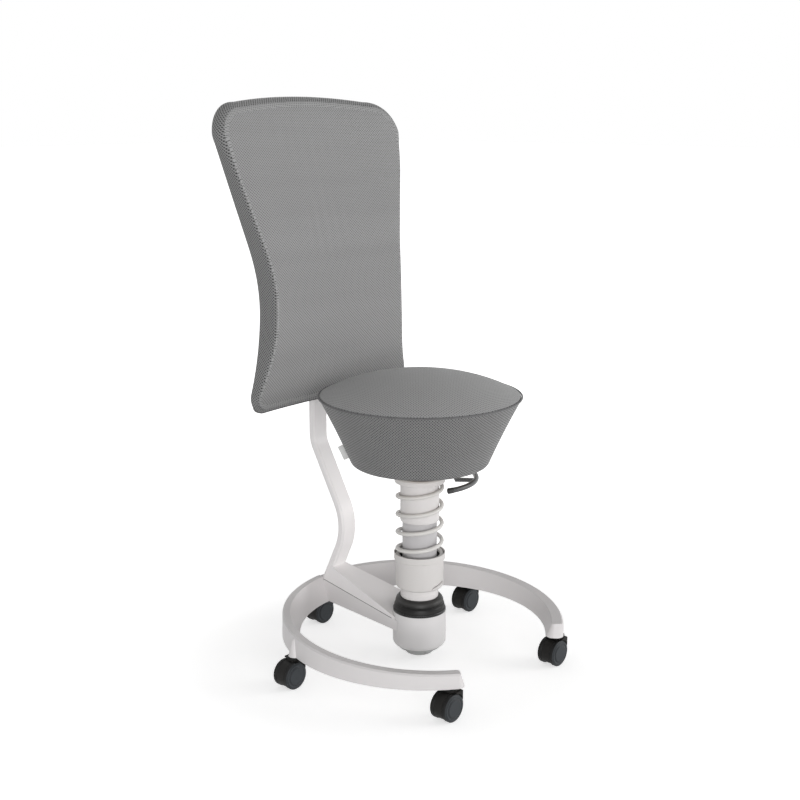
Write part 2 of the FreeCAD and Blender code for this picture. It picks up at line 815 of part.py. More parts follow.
# Gas spring: rod with collar and piston, cylinder, valve pin
collar_foot = bearing_top + " + seat_gap"
piston_radius = "cylinder_radius - cylinder_wall - slide_fit"
keep(lathe("gas_rod", [
    ("0", "carrier_bottom - rod_tail"),
    ("rod_radius", "carrier_bottom - rod_tail"),
    ("rod_radius", collar_foot),
    ("rod_collar_radius", collar_foot),
    ("rod_collar_radius", collar_foot + " + rod_collar_height"),
    ("rod_radius", collar_foot + " + rod_collar_height"),
    ("rod_radius", "piston_top - piston_height"),
    (piston_radius, "piston_top - piston_height"),
    (piston_radius, "piston_top"),
    ("0", "piston_top"),
]))
valve_bore = "valve_radius + pin_fit"
keep(lathe("gas_cylinder", [
    ("rod_radius + pin_fit", "cylinder_bottom"),
    ("cylinder_radius", "cylinder_bottom"),
    ("cylinder_radius", "cylinder_top"),
    (valve_bore, "cylinder_top"),
    (valve_bore, "cylinder_top - cylinder_end"),
    ("cylinder_radius - cylinder_wall", "cylinder_top - cylinder_end"),
    ("cylinder_radius - cylinder_wall", "cylinder_bottom + cylinder_end"),
    ("rod_radius + pin_fit", "cylinder_bottom + cylinder_end"),
]))
valve_top = "lever_bar_bottom - seat_gap"
keep(lathe("valve_pin", [
    ("0", valve_top + " - valve_length"),
    ("valve_radius", valve_top + " - valve_length"),
    ("valve_radius", valve_top),
    ("0", valve_top),
]))

# Seat hub: casting with the cone socket, the lever's slot and a plate under the seat board
hub_plate_top = "(hub_plate_bottom + hub_plate_thickness)"
hub_boss = bar("hub_boss", "hub_radius", "hub_plate_bottom - hub_bottom", z="hub_bottom")
hub_block = block("hub_block", ("0", "-hub_block_half_width", "hub_block_bottom"),
                  ("hub_block_end", "hub_block_half_width", "hub_plate_bottom"))
hub_plate = block("hub_plate", ("-hub_plate_half_length", "-hub_plate_half_width", "hub_plate_bottom"),
                  ("hub_plate_half_length", "hub_plate_half_width", hub_plate_top))
slot_half = "lever_bar_half_width + lever_slot_gap"
hub_slot = block("hub_slot", ("-cylinder_radius", "-(%s)" % slot_half, "cylinder_top - 2*lever_slot_gap"),
                 ("hub_block_end + lever_nose", slot_half, "hub_plate_bottom"))
hub_bore = bar("hub_bore", "cylinder_radius + press_gap", "cylinder_top + seat_gap - hub_bottom + 1",
               z="hub_bottom - 1")
pivot_height = "lever_bar_bottom + lever_bar_height/2"
hub_pin_bore = bar("hub_pin_bore", "lever_pin_radius + press_gap", "2*hub_block_half_width", "lever_pivot",
                   "-hub_block_half_width", pivot_height, *TO_Y)
HUB_SCREWS = [("hub_screw_x", "hub_screw_y"), ("hub_screw_x", "-hub_screw_y"),
              ("-hub_screw_x", "hub_screw_y"), ("-hub_screw_x", "-hub_screw_y")]
hub_screw_bores = [bar("hub_screw_bore_%d" % index, "hub_screw_radius + press_gap", "3*hub_plate_thickness",
                       x, y, "hub_plate_bottom - hub_plate_thickness") for index, (x, y) in enumerate(HUB_SCREWS)]
hub = cut("seat_hub", fuse("hub_blank", [hub_boss, hub_block, hub_plate]),
          [hub_slot, hub_bore, hub_pin_bore] + hub_screw_bores)
keep(place(hub, angle="lever_azimuth"))
pin_blank = bar("pin_blank", "lever_pin_radius", "2*hub_block_half_width", "lever_pivot", "-hub_block_half_width",
                pivot_height, *TO_Y)
pin_head = bar("pin_head", "1.5*lever_pin_radius", "lever_pin_radius/2", "lever_pivot", "hub_block_half_width",
               pivot_height, *TO_Y)
keep(place(fuse("lever_pin", [pin_blank, pin_head]), angle="lever_azimuth"))

hub_screw_parts = []
for index, (x, y) in enumerate(HUB_SCREWS):
    hub_screw_parts.append(bar("hub_screw_shank_%d" % index, "hub_screw_radius",
                               "hub_plate_thickness + hub_screw_reach", x, y, "hub_plate_bottom"))
    hub_screw_parts.append(bar("hub_screw_head_%d" % index, "hub_screw_head", "hub_screw_radius", x, y,
                               "hub_plate_bottom - hub_screw_radius"))
keep(place(fuse("hub_screws", hub_screw_parts), angle="lever_azimuth"))

# Release lever: a cranked bar on the pin and a round grip that curls round under the seat
drop_bottom = "lever_bar_bottom - lever_drop"
lever_bar = padded_plate("lever_bar", "XZ_Plane", [
    ("-lever_nose", "lever_bar_bottom"),
    ("lever_drop_start", "lever_bar_bottom"),
    ("lever_drop_end", drop_bottom),
    ("lever_bar_end", drop_bottom),
    ("lever_bar_end", drop_bottom + " + lever_bar_height"),
    ("lever_drop_end + lever_bar_height/2", drop_bottom + " + lever_bar_height"),
    ("lever_drop_start + lever_bar_height/2", "lever_bar_bottom + lever_bar_height"),
    ("-lever_nose", "lever_bar_bottom + lever_bar_height"),
], "lever_bar_half_width")


def grip_shape():
    """A round rod on a long arc about the column, with rounded ends."""
    radius = value("grip_radius")
    sweep_radius = value("grip_arc_radius")
    first = math.radians(value("grip_tail"))
    last = -math.radians(value("grip_sweep"))

    def on_sweep(angle):
        return Vector(sweep_radius * math.cos(angle), sweep_radius * math.sin(angle), value("grip_height"))

    path = Part.Wire(Part.Arc(on_sweep(first), on_sweep((first + last) / 2), on_sweep(last)).toShape())
    rod = pipe(path, ring_wire(on_sweep(first), Vector(-math.sin(first), math.cos(first), 0), radius))
    ends = [Part.makeSphere(radius, on_sweep(angle)) for angle in (first, last)]
    return rod.fuse(ends).removeSplitter()


lever_pin_bore = bar("lever_pin_bore", "lever_pin_radius + pin_fit", "4*lever_bar_half_width", "lever_pivot",
                     "-2*lever_bar_half_width", pivot_height, *TO_Y)
lever_eye = bar("lever_eye", "lever_eye_radius", "2*lever_bar_half_width", "lever_pivot", "-lever_bar_half_width",
                pivot_height, *TO_Y)
lever_grip = feature("lever_grip", grip_shape())
lever = cut("lever", fuse("lever_blank", [lever_bar, lever_eye, lever_grip]), [lever_pin_bore])
keep(place(lever, angle="lever_azimuth"))

# Seat: board, cushion with a conical skirt and a domed top, piping and a small blank tag
board_top = hub_plate_top + " + board_thickness"
board_blank = lathe("board_blank", [
    ("board_hole", hub_plate_top),
    ("board_radius", hub_plate_top),
    ("board_radius", board_top),
    ("board_hole", board_top),
], [("board_radius", board_top, "board_thickness/3")])
board_bores = [bar("board_bore_%d" % index, "hub_screw_radius + press_gap", "hub_screw_reach + seat_gap",
                   x, y, hub_plate_top) for index, (x, y) in enumerate(HUB_SCREWS)]
keep(place(cut("seat_board", board_blank, board_bores), angle="lever_azimuth"))


def cushion_shape():
    """The cushion's section turned about the column: hem, drawn-in skirt, piping groove, crown."""
    hem, floor, rim, edge = [value(name) for name in ("hem_radius", "hem_height", "rim_radius", "rim_height")]
    groove = value("piping_radius + seat_gap")
    hem_round = value("hem_round")
    crown = edge + value("crown_height")
    recess = value("board_radius + seat_gap")
    ceiling = value(board_top + " + seat_gap")
    lean = math.atan2(edge - floor, rim - hem)
    reach = hem_round * math.tan(lean / 2)
    hem_flat = Vector(hem - reach, 0, floor)
    hem_bend = hem_flat + Vector(math.sin(lean / 2), 0, 1 - math.cos(lean / 2)) * hem_round
    skirt_foot = Vector(hem + reach * math.cos(lean), 0, floor + reach * math.sin(lean))
    below = Vector(rim - groove, 0, edge - groove)
    above = Vector(rim - groove, 0, edge + groove)
    inside = Vector(rim - 2 * groove, 0, edge)
    draw = value("skirt_draw")
    middle = (skirt_foot + below) * 0.5 + Vector(-draw * math.sin(lean), 0, draw * math.cos(lean))
    hem_inner = Vector(recess, 0, floor)
    top = Vector(0, 0, crown)
    rise = crown - above.z
    ball = (above.x ** 2 + rise ** 2) / (2 * rise)
    half_way = math.asin(above.x / ball) / 2
    shoulder = Vector(ball * math.sin(half_way), 0, crown - ball * (1 - math.cos(half_way)))
    edges = [
        Part.LineSegment(hem_inner, hem_flat).toShape(),
        Part.Arc(hem_flat, hem_bend, skirt_foot).toShape(),
        Part.Arc(skirt_foot, middle, below).toShape(),
        Part.LineSegment(below, inside).toShape(),
        Part.LineSegment(inside, above).toShape(),
        Part.Arc(above, shoulder, top).toShape(),
        Part.LineSegment(top, Vector(0, 0, ceiling)).toShape(),
        Part.LineSegment(Vector(0, 0, ceiling), Vector(recess, 0, ceiling)).toShape(),
        Part.LineSegment(Vector(recess, 0, ceiling), hem_inner).toShape(),
    ]
    return Part.Face(Part.Wire(edges)).revolve(Vector(0, 0, 0), UP, 360)


keep(feature("seat_cushion", cushion_shape()))
keep(solid("Torus", "seat_piping", {"Radius1": "rim_radius - piping_radius/2", "Radius2": "piping_radius"},
           z="rim_height"))
skirt_lean = "atan((rim_radius - hem_radius)/(rim_height - hem_height))"
skirt_at_tag = "hem_radius + tag_rise*tan(%s) - tag_inset" % skirt_lean
tag_foot = "(hem_height + tag_rise)"
tag_flat = solid("Box", "tag_flat", {"Length": "tag_width", "Width": "tag_thickness", "Height": "tag_height"},
                 skirt_at_tag + " + seat_gap", "-tag_thickness/2", tag_foot, Vector(0, 1, 0), skirt_lean)
tag_fold = solid("Box", "tag_fold", {"Length": "tag_thickness", "Width": "2*tag_thickness", "Height": "tag_height"},
                 skirt_at_tag + " + seat_gap + tag_width*cos(%s)" % skirt_lean, "-tag_thickness",
                 tag_foot + " - tag_width*sin(%s)" % skirt_lean, Vector(0, 1, 0), skirt_lean)
keep(place(fuse("seat_tag", [tag_flat, tag_fold]), angle="tag_azimuth"))

# Firmness wheel: a notched knob under the pot with a stud up through its floor
wheel_top = "pot_bottom - seat_gap"
knob = lathe("knob", [
    ("0", "wheel_knob_bottom"),
    ("wheel_knob_radius - 3", "wheel_knob_bottom"),
    ("wheel_knob_radius", "wheel_knob_bottom + 3"),
    ("wheel_knob_radius", wheel_top + " - wheel_flange_thickness"),
    ("wheel_flange_radius", wheel_top + " - wheel_flange_thickness*0.8"),
    ("wheel_flange_radius", wheel_top),
    ("stud_radius", wheel_top),
    ("stud_radius", "stud_top"),
    ("0", "stud_top"),
])
notches = [bar("knob_notch_%d" % index, "wheel_notch_radius", wheel_top + " - wheel_flange_thickness",
               "(wheel_knob_radius + 2)*cos(%d*360/wheel_notch_count)" % index,
               "(wheel_knob_radius + 2)*sin(%d*360/wheel_notch_count)" % index)
           for index in range(int(value("wheel_notch_count")))]
keep(cut("firmness_wheel", knob, notches))


# Coil spring: one unbroken wire on pairs of arcs, with a flat turn in the cup
def spring_height(turn):
    """Height of the wire's middle, counted in turns from where it faces the front right."""
    rise = value("spring_rise_turns")
    seat = value("cup_ledge + seat_gap + wire_diameter/2")
    if turn <= -rise:
        return seat
    if turn < 0:
        return seat + (value("spring_face_height") - seat) * (turn + rise) / rise
    return value("spring_face_height") + turn * value("spring_pitch")


def spring_point(turn):
    angle = 2 * math.pi * turn + math.radians(value("spring_face_azimuth"))
    radius = value("spring_mean_radius")
    return Vector(radius * math.cos(angle), radius * math.sin(angle), spring_height(turn))


def spring_heading(turn):
    step = 0.02
    return (spring_point(turn + step) - spring_point(turn - step)).normalize()


def arc_from(start, apex, end):
    """The arc that touches both legs of an even-sided corner."""
    middle = (start + end) * 0.5
    half = (end - start).Length / 2
    rise = (apex - middle).Length
    sag = half * math.tan(math.atan2(rise, half) / 2)
    return Part.Arc(start, middle + (apex - middle) * (sag / rise), end)


def biarc(start, start_way, end, end_way):
    """Two arcs that leave one point and reach another in given directions."""
    gap = end - start
    ways = start_way + end_way
    square = ways.dot(ways) - 4
    mix = gap.dot(ways)
    reach = (mix - math.sqrt(mix * mix - square * gap.dot(gap))) / square
    first = start + start_way * reach
    second = end - end_way * reach
    joint = (first + second) * 0.5
    return [arc_from(start, first, joint), arc_from(joint, second, end)]


def spring_shape():
    wire = value("wire_diameter")
    first_turn = -value("spring_rise_turns") - value("spring_end_turns")
    top = value("plate_bottom - seat_gap - wire_diameter/2")
    climb = wire * value("spring_pitch") / (2 * math.pi * value("spring_mean_radius"))
    last_turn = (top - climb - value("spring_face_height")) / value("spring_pitch")
    count = int(round((last_turn - first_turn) * 4))
    turns = [first_turn + (last_turn - first_turn) * index / count for index in range(count + 1)]
    points = [spring_point(turn) for turn in turns]
    ways = [spring_heading(turn) for turn in turns]
    tail = points[0] - ways[0] * wire
    edges = [Part.LineSegment(tail, points[0]).toShape()]
    for index in range(count):
        for arc in biarc(points[index], ways[index], points[index + 1], ways[index + 1]):
            edges.append(arc.toShape())
    edges.append(Part.LineSegment(points[-1], points[-1] + ways[-1] * wire).toShape())
    path = Part.Wire(edges)
    samples = path.discretize(Number=400)
    spacing = path.Length / 400
    apart = int(math.ceil(math.pi * value("spring_mean_radius") / spacing))
    least = min((samples[i] - samples[j]).Length for i in range(len(samples)) for j in range(i + apart, len(samples)))
    print("spring: least gap to itself %.2f mm" % (least - wire))
    shape = pipe(path, ring_wire(tail, ways[0], wire / 2))
    print("spring: volume over section times length %.4f" % (shape.Volume / (math.pi * wire ** 2 / 4 * path.Length)))
    return shape


keep(feature("coil_spring", spring_shape()))


# Back post: a bevelled flat bar on an S-shaped run, with a wedge foot on the arm's seam
def post_shape():
    half = value("post_width") / 2
    deep = value("post_depth") / 2
    bevel = value("post_bevel")
    run = [Vector(0, value(y), value(z)) for y, z in (
        ("ring_radius - post_foot_inset", "post_foot_z"), ("post_bend_y", "post_bend_z"),
        ("post_top_y", "post_shoulder_z"), ("post_top_y", "post_top_z"))]
    path = Part.Wire(rounded_run(run, [value("post_bend_round"), value("post_shoulder_round")]))
    along = (run[1] - run[0]).normalize()
    back = Vector(1, 0, 0).cross(along) * -1
    corners = [(-half + bevel, -deep), (half - bevel, -deep), (half, -deep + bevel), (half, deep - bevel / 2),
               (half - bevel / 2, deep), (-half + bevel / 2, deep), (-half, deep - bevel / 2), (-half, -deep + bevel)]
    section = [run[0] + Vector(x, 0, 0) + back * y for x, y in corners]
    post = pipe(path, Part.makePolygon(section + section[:1]))
    rows = []
    for y, slim, tall, lean in (
            ("(ring_radius - foot_rear_inset)", "foot_rear_slim", "foot_rear_height", "foot_rear_lean"),
            ("foot_front", "foot_front_slim", "foot_front_height", "0")):
        floor = value(seam_at % y)
        low, rise = value(arm_half_at % y), value(tall)
        high, back_off = low - value(slim), value(y) - value(lean)
        row = [Vector(-low, value(y), floor), Vector(low, value(y), floor),
               Vector(high, back_off, floor + rise), Vector(-high, back_off, floor + rise)]
        rows.append(Part.makePolygon(row + row[:1]))
    foot = Part.makeLoft(rows, True, True)
    return post.fuse(foot).removeSplitter()


post_blank = feature("post_blank", post_shape())
below_seam = solid("Box", "below_seam", {"Length": "4*post_width", "Width": "2*" + arm_rear, "Height": "pot_rim"},
                   "-2*post_width",
                   "arm_front - %s/2*cos(%s) + pot_rim*sin(%s)" % (arm_rear, seam_slope, seam_slope),
                   "seam_front_height - %s/2*sin(%s) - pot_rim*cos(%s)" % (arm_rear, seam_slope, seam_slope),
                   Vector(1, 0, 0), seam_slope)
beside_pot = bar("beside_pot", "pot_radius + seat_gap", "2*pot_rim")
post_bores = []
for index in range(POST_SCREWS):
    bore_y, bore_z = on_seam(index)
    post_bores.append(bar("post_bore_%d" % index, "post_screw_radius + press_gap", "post_screw_reach + seat_gap",
                          "0", bore_y, bore_z, Vector(1, 0, 0), seam_slope))
post_front = "post_top_y - post_depth/2"
post_rear = "post_top_y + post_depth/2"
BACK_SCREWS = [(x, z) for x in ("back_screw_x", "-back_screw_x") for z in ("back_screw_low", "back_screw_high")]
post_top_bores = [bar("post_top_bore_%d" % index, "back_screw_radius + press_gap", "2*post_depth", x,
                      post_front + " - post_depth/2", z, *TO_Y) for index, (x, z) in enumerate(BACK_SCREWS)]
keep(cut("back_post", post_blank, [below_seam, beside_pot] + post_bores + post_top_bores))

post_screw_parts = []
for index in range(POST_SCREWS):
    screw_y, screw_z = on_seam(index)
    for name, radius, low, length in (
            ("shank", "post_screw_radius", roof_square, roof_square + " + post_screw_reach"),
            ("head", "post_screw_head", roof_square + " + post_screw_radius", "post_screw_radius")):
        post_screw_parts.append(bar("post_screw_%s_%d" % (name, index), radius, length, "0",
                                    "%s + (%s)*sin(%s)" % (screw_y, low, seam_slope),
                                    "%s - (%s)*cos(%s)" % (screw_z, low, seam_slope), Vector(1, 0, 0), seam_slope))
keep(fuse("post_screws", post_screw_parts))

# Backrest: a padded slab bowed round the sitter, hourglass-shaped from the front, with a shell set in behind
BOW_STATIONS = (-1.2, -0.6, 0, 0.6, 1.2)


def back_slab(front_shift):
    """The back's side profile carried across its bow; the front face can be moved towards the rear one."""
    low, top = value("back_bottom") - 10, value("back_top") + 10
    rear_run = [("back_rear_y", low), ("back_rear_y", value("back_rear_bend_z")), ("back_rear_top_y", top)]
    front_run = [("back_front_bottom_y", low), ("back_lumbar_y", value("back_lumbar_z")), ("back_front_top_y", top)]
    front_round = value("back_lumbar_round")
    if front_shift is not None:
        front_run = rear_run
        front_round = value("back_rear_bend_round")
    sections = []
    for station in BOW_STATIONS:
        x = station * value("back_shoulder_half")
        shift = -x * x / (2 * value("back_bow_radius"))
        nearer = shift - (front_shift or 0)
        front = [Vector(x, value(y) + nearer, z) for y, z in front_run]
        rear = [Vector(x, value(y) + shift, z) for y, z in reversed(rear_run)]
        edges = rounded_run(front, [front_round])
        edges.append(Part.LineSegment(front[-1], rear[0]).toShape())
        edges += rounded_run(rear, [value("back_rear_bend_round")])
        edges.append(Part.LineSegment(rear[-1], front[0]).toShape())
        sections.append(Part.Wire(edges))
    return Part.makeLoft(sections, True, False)


def back_outline(inset):
    """The back seen from the front: a waisted arc and a straight flare each side, a crowned top."""
    foot = Vector(value("back_foot_half") - inset, 0, value("back_foot_z"))
    waist = Vector(value("back_waist_half") - inset, 0, value("back_waist_z"))
    flare = (value("back_waist_z") - value("back_foot_z")) * 0.62
    bulge = (foot.x - waist.x) * 0.62 ** 2
    hip = Vector(waist.x + bulge, 0, waist.z + flare)
    shoulder = Vector(value("back_shoulder_half") - inset, 0, value("back_shoulder_z") - inset / 2)
    bottom = value("back_bottom") + inset
    crown = value("back_top") - inset
    foot_corner = value("back_foot_corner")
    top_corner = value("back_top_corner")
    low_end = Vector(foot.x - foot_corner * 0.9, 0, bottom)
    top_end = Vector(shoulder.x - top_corner, 0, crown - value("back_crown") * 0.7)

    def mirror(point):
        return Vector(-point.x, 0, point.z)

    foot_mid = (low_end + foot) * 0.5 + Vector(foot_corner * 0.22, 0, -foot_corner * 0.22)
    top_mid = (shoulder + top_end) * 0.5 + Vector(top_corner * 0.2, 0, top_corner * 0.17)
    edges = [
        Part.Arc(low_end, foot_mid, foot).toShape(),
        Part.Arc(foot, waist, hip).toShape(),
        Part.LineSegment(hip, shoulder).toShape(),
        Part.Arc(shoulder, top_mid, top_end).toShape(),
        Part.Arc(top_end, Vector(0, 0, crown), mirror(top_end)).toShape(),
        Part.Arc(mirror(top_end), mirror(top_mid), mirror(shoulder)).toShape(),
        Part.LineSegment(mirror(shoulder), mirror(hip)).toShape(),
        Part.Arc(mirror(hip), mirror(waist), mirror(foot)).toShape(),
        Part.Arc(mirror(foot), mirror(foot_mid), mirror(low_end)).toShape(),
        Part.LineSegment(mirror(low_end), low_end).toShape(),
    ]
    prism = Part.Face(Part.Wire(edges)).extrude(Vector(0, 3 * value("back_rear_top_y"), 0))
    prism.translate(Vector(0, -value("back_rear_top_y"), 0))
    return prism


def rim_edges(body):
    """The slab's edges all round, front and rear: neither the seams of its faces nor its corners."""
    edges = []
    for edge in body.Edges:
        box = edge.BoundBox
        seam = box.ZLength < 0.1 and value("back_bottom") + 1 < box.ZMin < value("back_top") - 1
        if not seam and not isinstance(edge.Curve, Part.Line):
            edges.append(edge)
    return edges


back_sharp = back_slab(None).common(back_outline(0)).Solids[0]
back_body = feature("back_body", back_sharp.makeFillet(value("back_edge_round"), rim_edges(back_sharp)))
gap = value("seat_gap")
shell_seat = feature("shell_seat", back_slab(value("shell_thickness") + gap).common(
    back_outline(value("shell_inset") - gap)))
keep(cut("back_pad", back_body, [shell_seat]))
shell_blank = feature("shell_blank", back_slab(value("shell_thickness")).common(back_outline(value("shell_inset"))))
shell_bores = [bar("shell_bore_%d" % index, "back_screw_radius + press_gap", "2*shell_thickness", x,
                   "back_rear_y - shell_thickness*0.8", z, *TO_Y) for index, (x, z) in enumerate(BACK_SCREWS)]
keep(cut("back_shell", shell_blank, shell_bores))

back_screw_parts = []
for index, (x, z) in enumerate(BACK_SCREWS):
    back_screw_parts.append(bar("back_screw_shank_%d" % index, "back_screw_radius",
                                post_rear + " - back_rear_y + shell_thickness*0.7", x,
                                "back_rear_y - shell_thickness*0.7", z, *TO_Y))
    back_screw_parts.append(bar("back_screw_head_%d" % index, "back_screw_head", "back_screw_radius", x, post_rear,
                                z, *TO_Y))
keep(fuse("back_screws", back_screw_parts))

# Castors: hood with a collar and spine, stem, axle and two wheels each
hood_half = "(castor_half_width - wheel_width - seat_gap)"
collar_foot_z = "(ring_underside - hood_gap - collar_height)"
for name, steps in CASTORS.items():
    label = "castor_" + name
    stem_x, stem_y = castor_spot(steps)
    axle_x = "%s - castor_trail" % stem_x
    drum = bar(label + "_drum", "hood_radius", "2*" + hood_half, axle_x, stem_y + " - " + hood_half, "wheel_radius",
               *TO_Y)
    spine = block(label + "_spine", (axle_x, stem_y + " - " + hood_half, "wheel_radius"),
                  (axle_x + " + hood_radius", stem_y + " + " + hood_half, collar_foot_z + " + collar_height/2"))
    cap_low = (axle_x + " + cap_round", stem_y + " - cap_half_width", "wheel_radius")
    cap_high = (axle_x + " + wheel_radius", stem_y + " + cap_half_width", collar_foot_z + " + collar_height/2")
    cap_sharp = block(label + "_cap_sharp", cap_low, cap_high)
    cap = soft_corners(label + "_cap", cap_sharp, "cap_round")
    wells = [bar("%s_well_%s" % (label, side), "wheel_radius + wheel_gap", "castor_half_width", axle_x, start,
                 "wheel_radius", *TO_Y) for side, start in (
                     ("left", "%s - %s - castor_half_width" % (stem_y, hood_half)),
                     ("right", "%s + %s" % (stem_y, hood_half)))]
    collar = bar(label + "_collar", "collar_radius", "collar_height", stem_x, stem_y, collar_foot_z)
    hood_solid = fuse(label + "_hood_solid", [drum, spine, cap])
    hood_blank = fuse(label + "_hood_blank", [cut(label + "_hood_wells", hood_solid, wells), collar])
    between_wheels = block(label + "_between", (axle_x + " - 2*hood_radius", stem_y + " - 2*hood_radius", "-1"),
                           (axle_x + " + 2*hood_radius", stem_y + " + 2*hood_radius", "hood_skirt"))
    stem_bore = bar(label + "_stem_bore", "stem_radius + press_gap", "stem_length", stem_x, stem_y,
                    "stem_bottom - press_gap")
    axle_bore = bar(label + "_axle_bore", "axle_radius + press_gap", "2*castor_half_width", axle_x,
                    stem_y + " - castor_half_width", "wheel_radius", *TO_Y)
    keep(cut(label + "_hood", hood_blank, [between_wheels, stem_bore, axle_bore]))
    keep(bar(label + "_stem", "stem_radius", "stem_length", stem_x, stem_y, "stem_bottom"))
    keep(bar(label + "_axle", "axle_radius", "2*(castor_half_width - axle_inset)", axle_x,
             stem_y + " - castor_half_width + axle_inset", "wheel_radius", *TO_Y))
    for side, sign, angle in (("left", "-", "90"), ("right", "+", "-90")):
        wheel = lathe("%s_wheel_%s" % (label, side), [
            ("axle_radius + pin_fit", "0"),
            ("wheel_radius - wheel_edge/3", "0"),
            ("wheel_radius", "wheel_edge/3"),
            ("wheel_radius", "wheel_width - wheel_edge"),
            ("wheel_face_radius + wheel_edge", "wheel_width - wheel_face_step"),
            ("wheel_face_radius", "wheel_width - wheel_face_step*2"),
            ("wheel_face_radius - wheel_edge", "wheel_width"),
            ("0", "wheel_width"),
            ("0", "wheel_width - axle_inset + seat_gap"),
            ("axle_radius + pin_fit", "wheel_width - axle_inset + seat_gap"),
        ])
        keep(place(wheel, axle_x, "%s %s (%s + seat_gap)" % (stem_y, sign, hood_half), "wheel_radius",
                   Vector(1, 0, 0), angle))

# Every object has to be sound before the pieces are written
doc.recompute()
for item in doc.Objects:
    if "Invalid" in item.State or "Error" in item.State:
        raise RuntimeError("%s is not sound: %s" % (item.Label, item.State))
os.makedirs("parts", exist_ok=True)
for label, item in pieces.items():
    if item.Shape.isNull() or not item.Shape.isValid() or item.Shape.Volume <= 0:
        raise RuntimeError("%s has no sound shape" % label)
    item.Shape.exportStep("parts/%s.step" % label)
print("pieces: %d" % len(pieces))
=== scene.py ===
import math

import bpy
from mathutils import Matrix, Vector


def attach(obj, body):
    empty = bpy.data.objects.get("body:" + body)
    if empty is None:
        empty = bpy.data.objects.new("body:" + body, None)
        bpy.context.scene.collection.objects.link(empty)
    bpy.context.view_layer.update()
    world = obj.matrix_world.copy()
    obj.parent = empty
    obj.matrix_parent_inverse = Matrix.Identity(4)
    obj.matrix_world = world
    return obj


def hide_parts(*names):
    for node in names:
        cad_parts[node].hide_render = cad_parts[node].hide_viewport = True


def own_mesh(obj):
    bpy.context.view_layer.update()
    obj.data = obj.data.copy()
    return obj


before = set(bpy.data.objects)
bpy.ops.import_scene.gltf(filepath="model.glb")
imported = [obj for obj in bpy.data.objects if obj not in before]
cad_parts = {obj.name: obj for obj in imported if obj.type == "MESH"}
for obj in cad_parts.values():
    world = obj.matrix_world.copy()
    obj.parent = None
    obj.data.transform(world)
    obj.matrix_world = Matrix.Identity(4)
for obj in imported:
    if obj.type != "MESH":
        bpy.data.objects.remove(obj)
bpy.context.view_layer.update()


# Foot frame: a C-shaped ring, an arm and a pot for the leaning joint, cast in one piece of light alloy.
# It is blasted and powder coated in a light grey, which leaves a fine orange peel; the pot's grey is darkened as
# painted shade.
def tint(red, green, blue):
    """A colour as seen on a screen, 0 to 255, in the linear values that a shader takes."""
    def linear(part):
        part /= 255
        return part / 12.92 if part <= 0.04045 else ((part + 0.055) / 1.055) ** 2.4
    return linear(red), linear(green), linear(blue), 1.0


class Finish:
    """A surface finish under making: its material, its shader and short ways to add nodes."""

    def __init__(self, name, colour, rough, **sockets):
        self.material = bpy.data.materials.new(name)
        self.material.use_nodes = True
        self.tree = self.material.node_tree
        self.shader = self.tree.nodes["Principled BSDF"]
        self.shader.inputs["Base Color"].default_value = colour
        self.shader.inputs["Roughness"].default_value = rough
        self.colour = colour
        for socket, amount in sockets.items():
            self.shader.inputs[socket.replace("_", " ")].default_value = amount

    def node(self, kind, inputs=None, out=0, **settings):
        """Add a node, link or set its inputs, and give one of its outputs."""
        made = self.tree.nodes.new("ShaderNode" + kind)
        for key, setting in settings.items():
            setattr(made, key, setting)
        for key, source in (inputs or {}).items():
            if isinstance(source, bpy.types.NodeSocket):
                self.tree.links.new(source, made.inputs[key])
            else:
                made.inputs[key].default_value = source
        return made.outputs[out]

    def calc(self, operation, first, second=0.0):
        return self.node("Math", {0: first, 1: second}, operation=operation)

    def between(self, source, low, high, start=0.0, end=1.0, way="LINEAR"):
        """Carry a value that runs from start to end over to the range from low to high."""
        return self.node("MapRange", {"Value": source, "From Min": start, "From Max": end, "To Min": low,
                                      "To Max": high}, interpolation_type=way)

    def place(self):
        return self.node("TexCoord", out="Object")

    def speckle(self, scale, detail=2.0, stretch=None):
        """Noise over the piece's own place in metres, drawn out along an axis if wanted."""
        spot = self.place()
        if stretch:
            spot = self.node("Mapping", {"Vector": spot, "Scale": stretch})
        return self.node("TexNoise", {"Vector": spot, "Scale": scale, "Detail": detail})

    def mottle(self, source, spread):
        """The finish's colour, made a little darker and lighter by a value around a half."""
        darker = [part * (1 - spread) for part in self.colour[:3]] + [1.0]
        lighter = [min(1.0, part * (1 + spread)) for part in self.colour[:3]] + [1.0]
        return self.node("Mix", {"Factor": source, 6: darker, 7: lighter}, out=2, data_type="RGBA")

    def relief(self, height, depth, under=None):
        inputs = {"Height": height, "Distance": depth, "Strength": 1.0}
        if under:
            inputs["Normal"] = under
        return self.node("Bump", inputs)

    def shade(self, socket, source):
        self.tree.links.new(source, self.shader.inputs[socket])


def powder_coat(name, colour, rough, edge=0.0012, painted_shade_core=None):
    """Baked powder: orange peel over softened edges, a slow drift of tone and patches of duller gloss."""
    coat = Finish(name, colour, rough, Specular_IOR_Level=0.45)
    toned = coat.mottle(coat.speckle(9.0, 3.0), 0.025)
    # Within the given radius of the column the coat's colour is darkened: painted shade.
    if painted_shade_core:
        radius, shade = painted_shade_core
        level = coat.node("VectorMath", {0: coat.place(), 1: (1.0, 1.0, 0.0)}, operation="MULTIPLY")
        reach = coat.node("VectorMath", {0: level}, out="Value", operation="LENGTH")
        inside = coat.between(reach, 1.0, 0.0, radius, radius + 0.0005)
        toned = coat.node("Mix", {"Factor": inside, 6: toned, 7: shade}, out=2, data_type="RGBA")
    coat.shade("Base Color", toned)
    coat.shade("Roughness", coat.between(coat.speckle(60.0, 3.0), rough - 0.06, rough + 0.06))
    softened = coat.node("Bevel", {"Radius": edge}, samples=4)
    peel = coat.relief(coat.speckle(850.0, 1.0), 0.00006, softened)
    coat.shade("Normal", peel)
    return coat.material


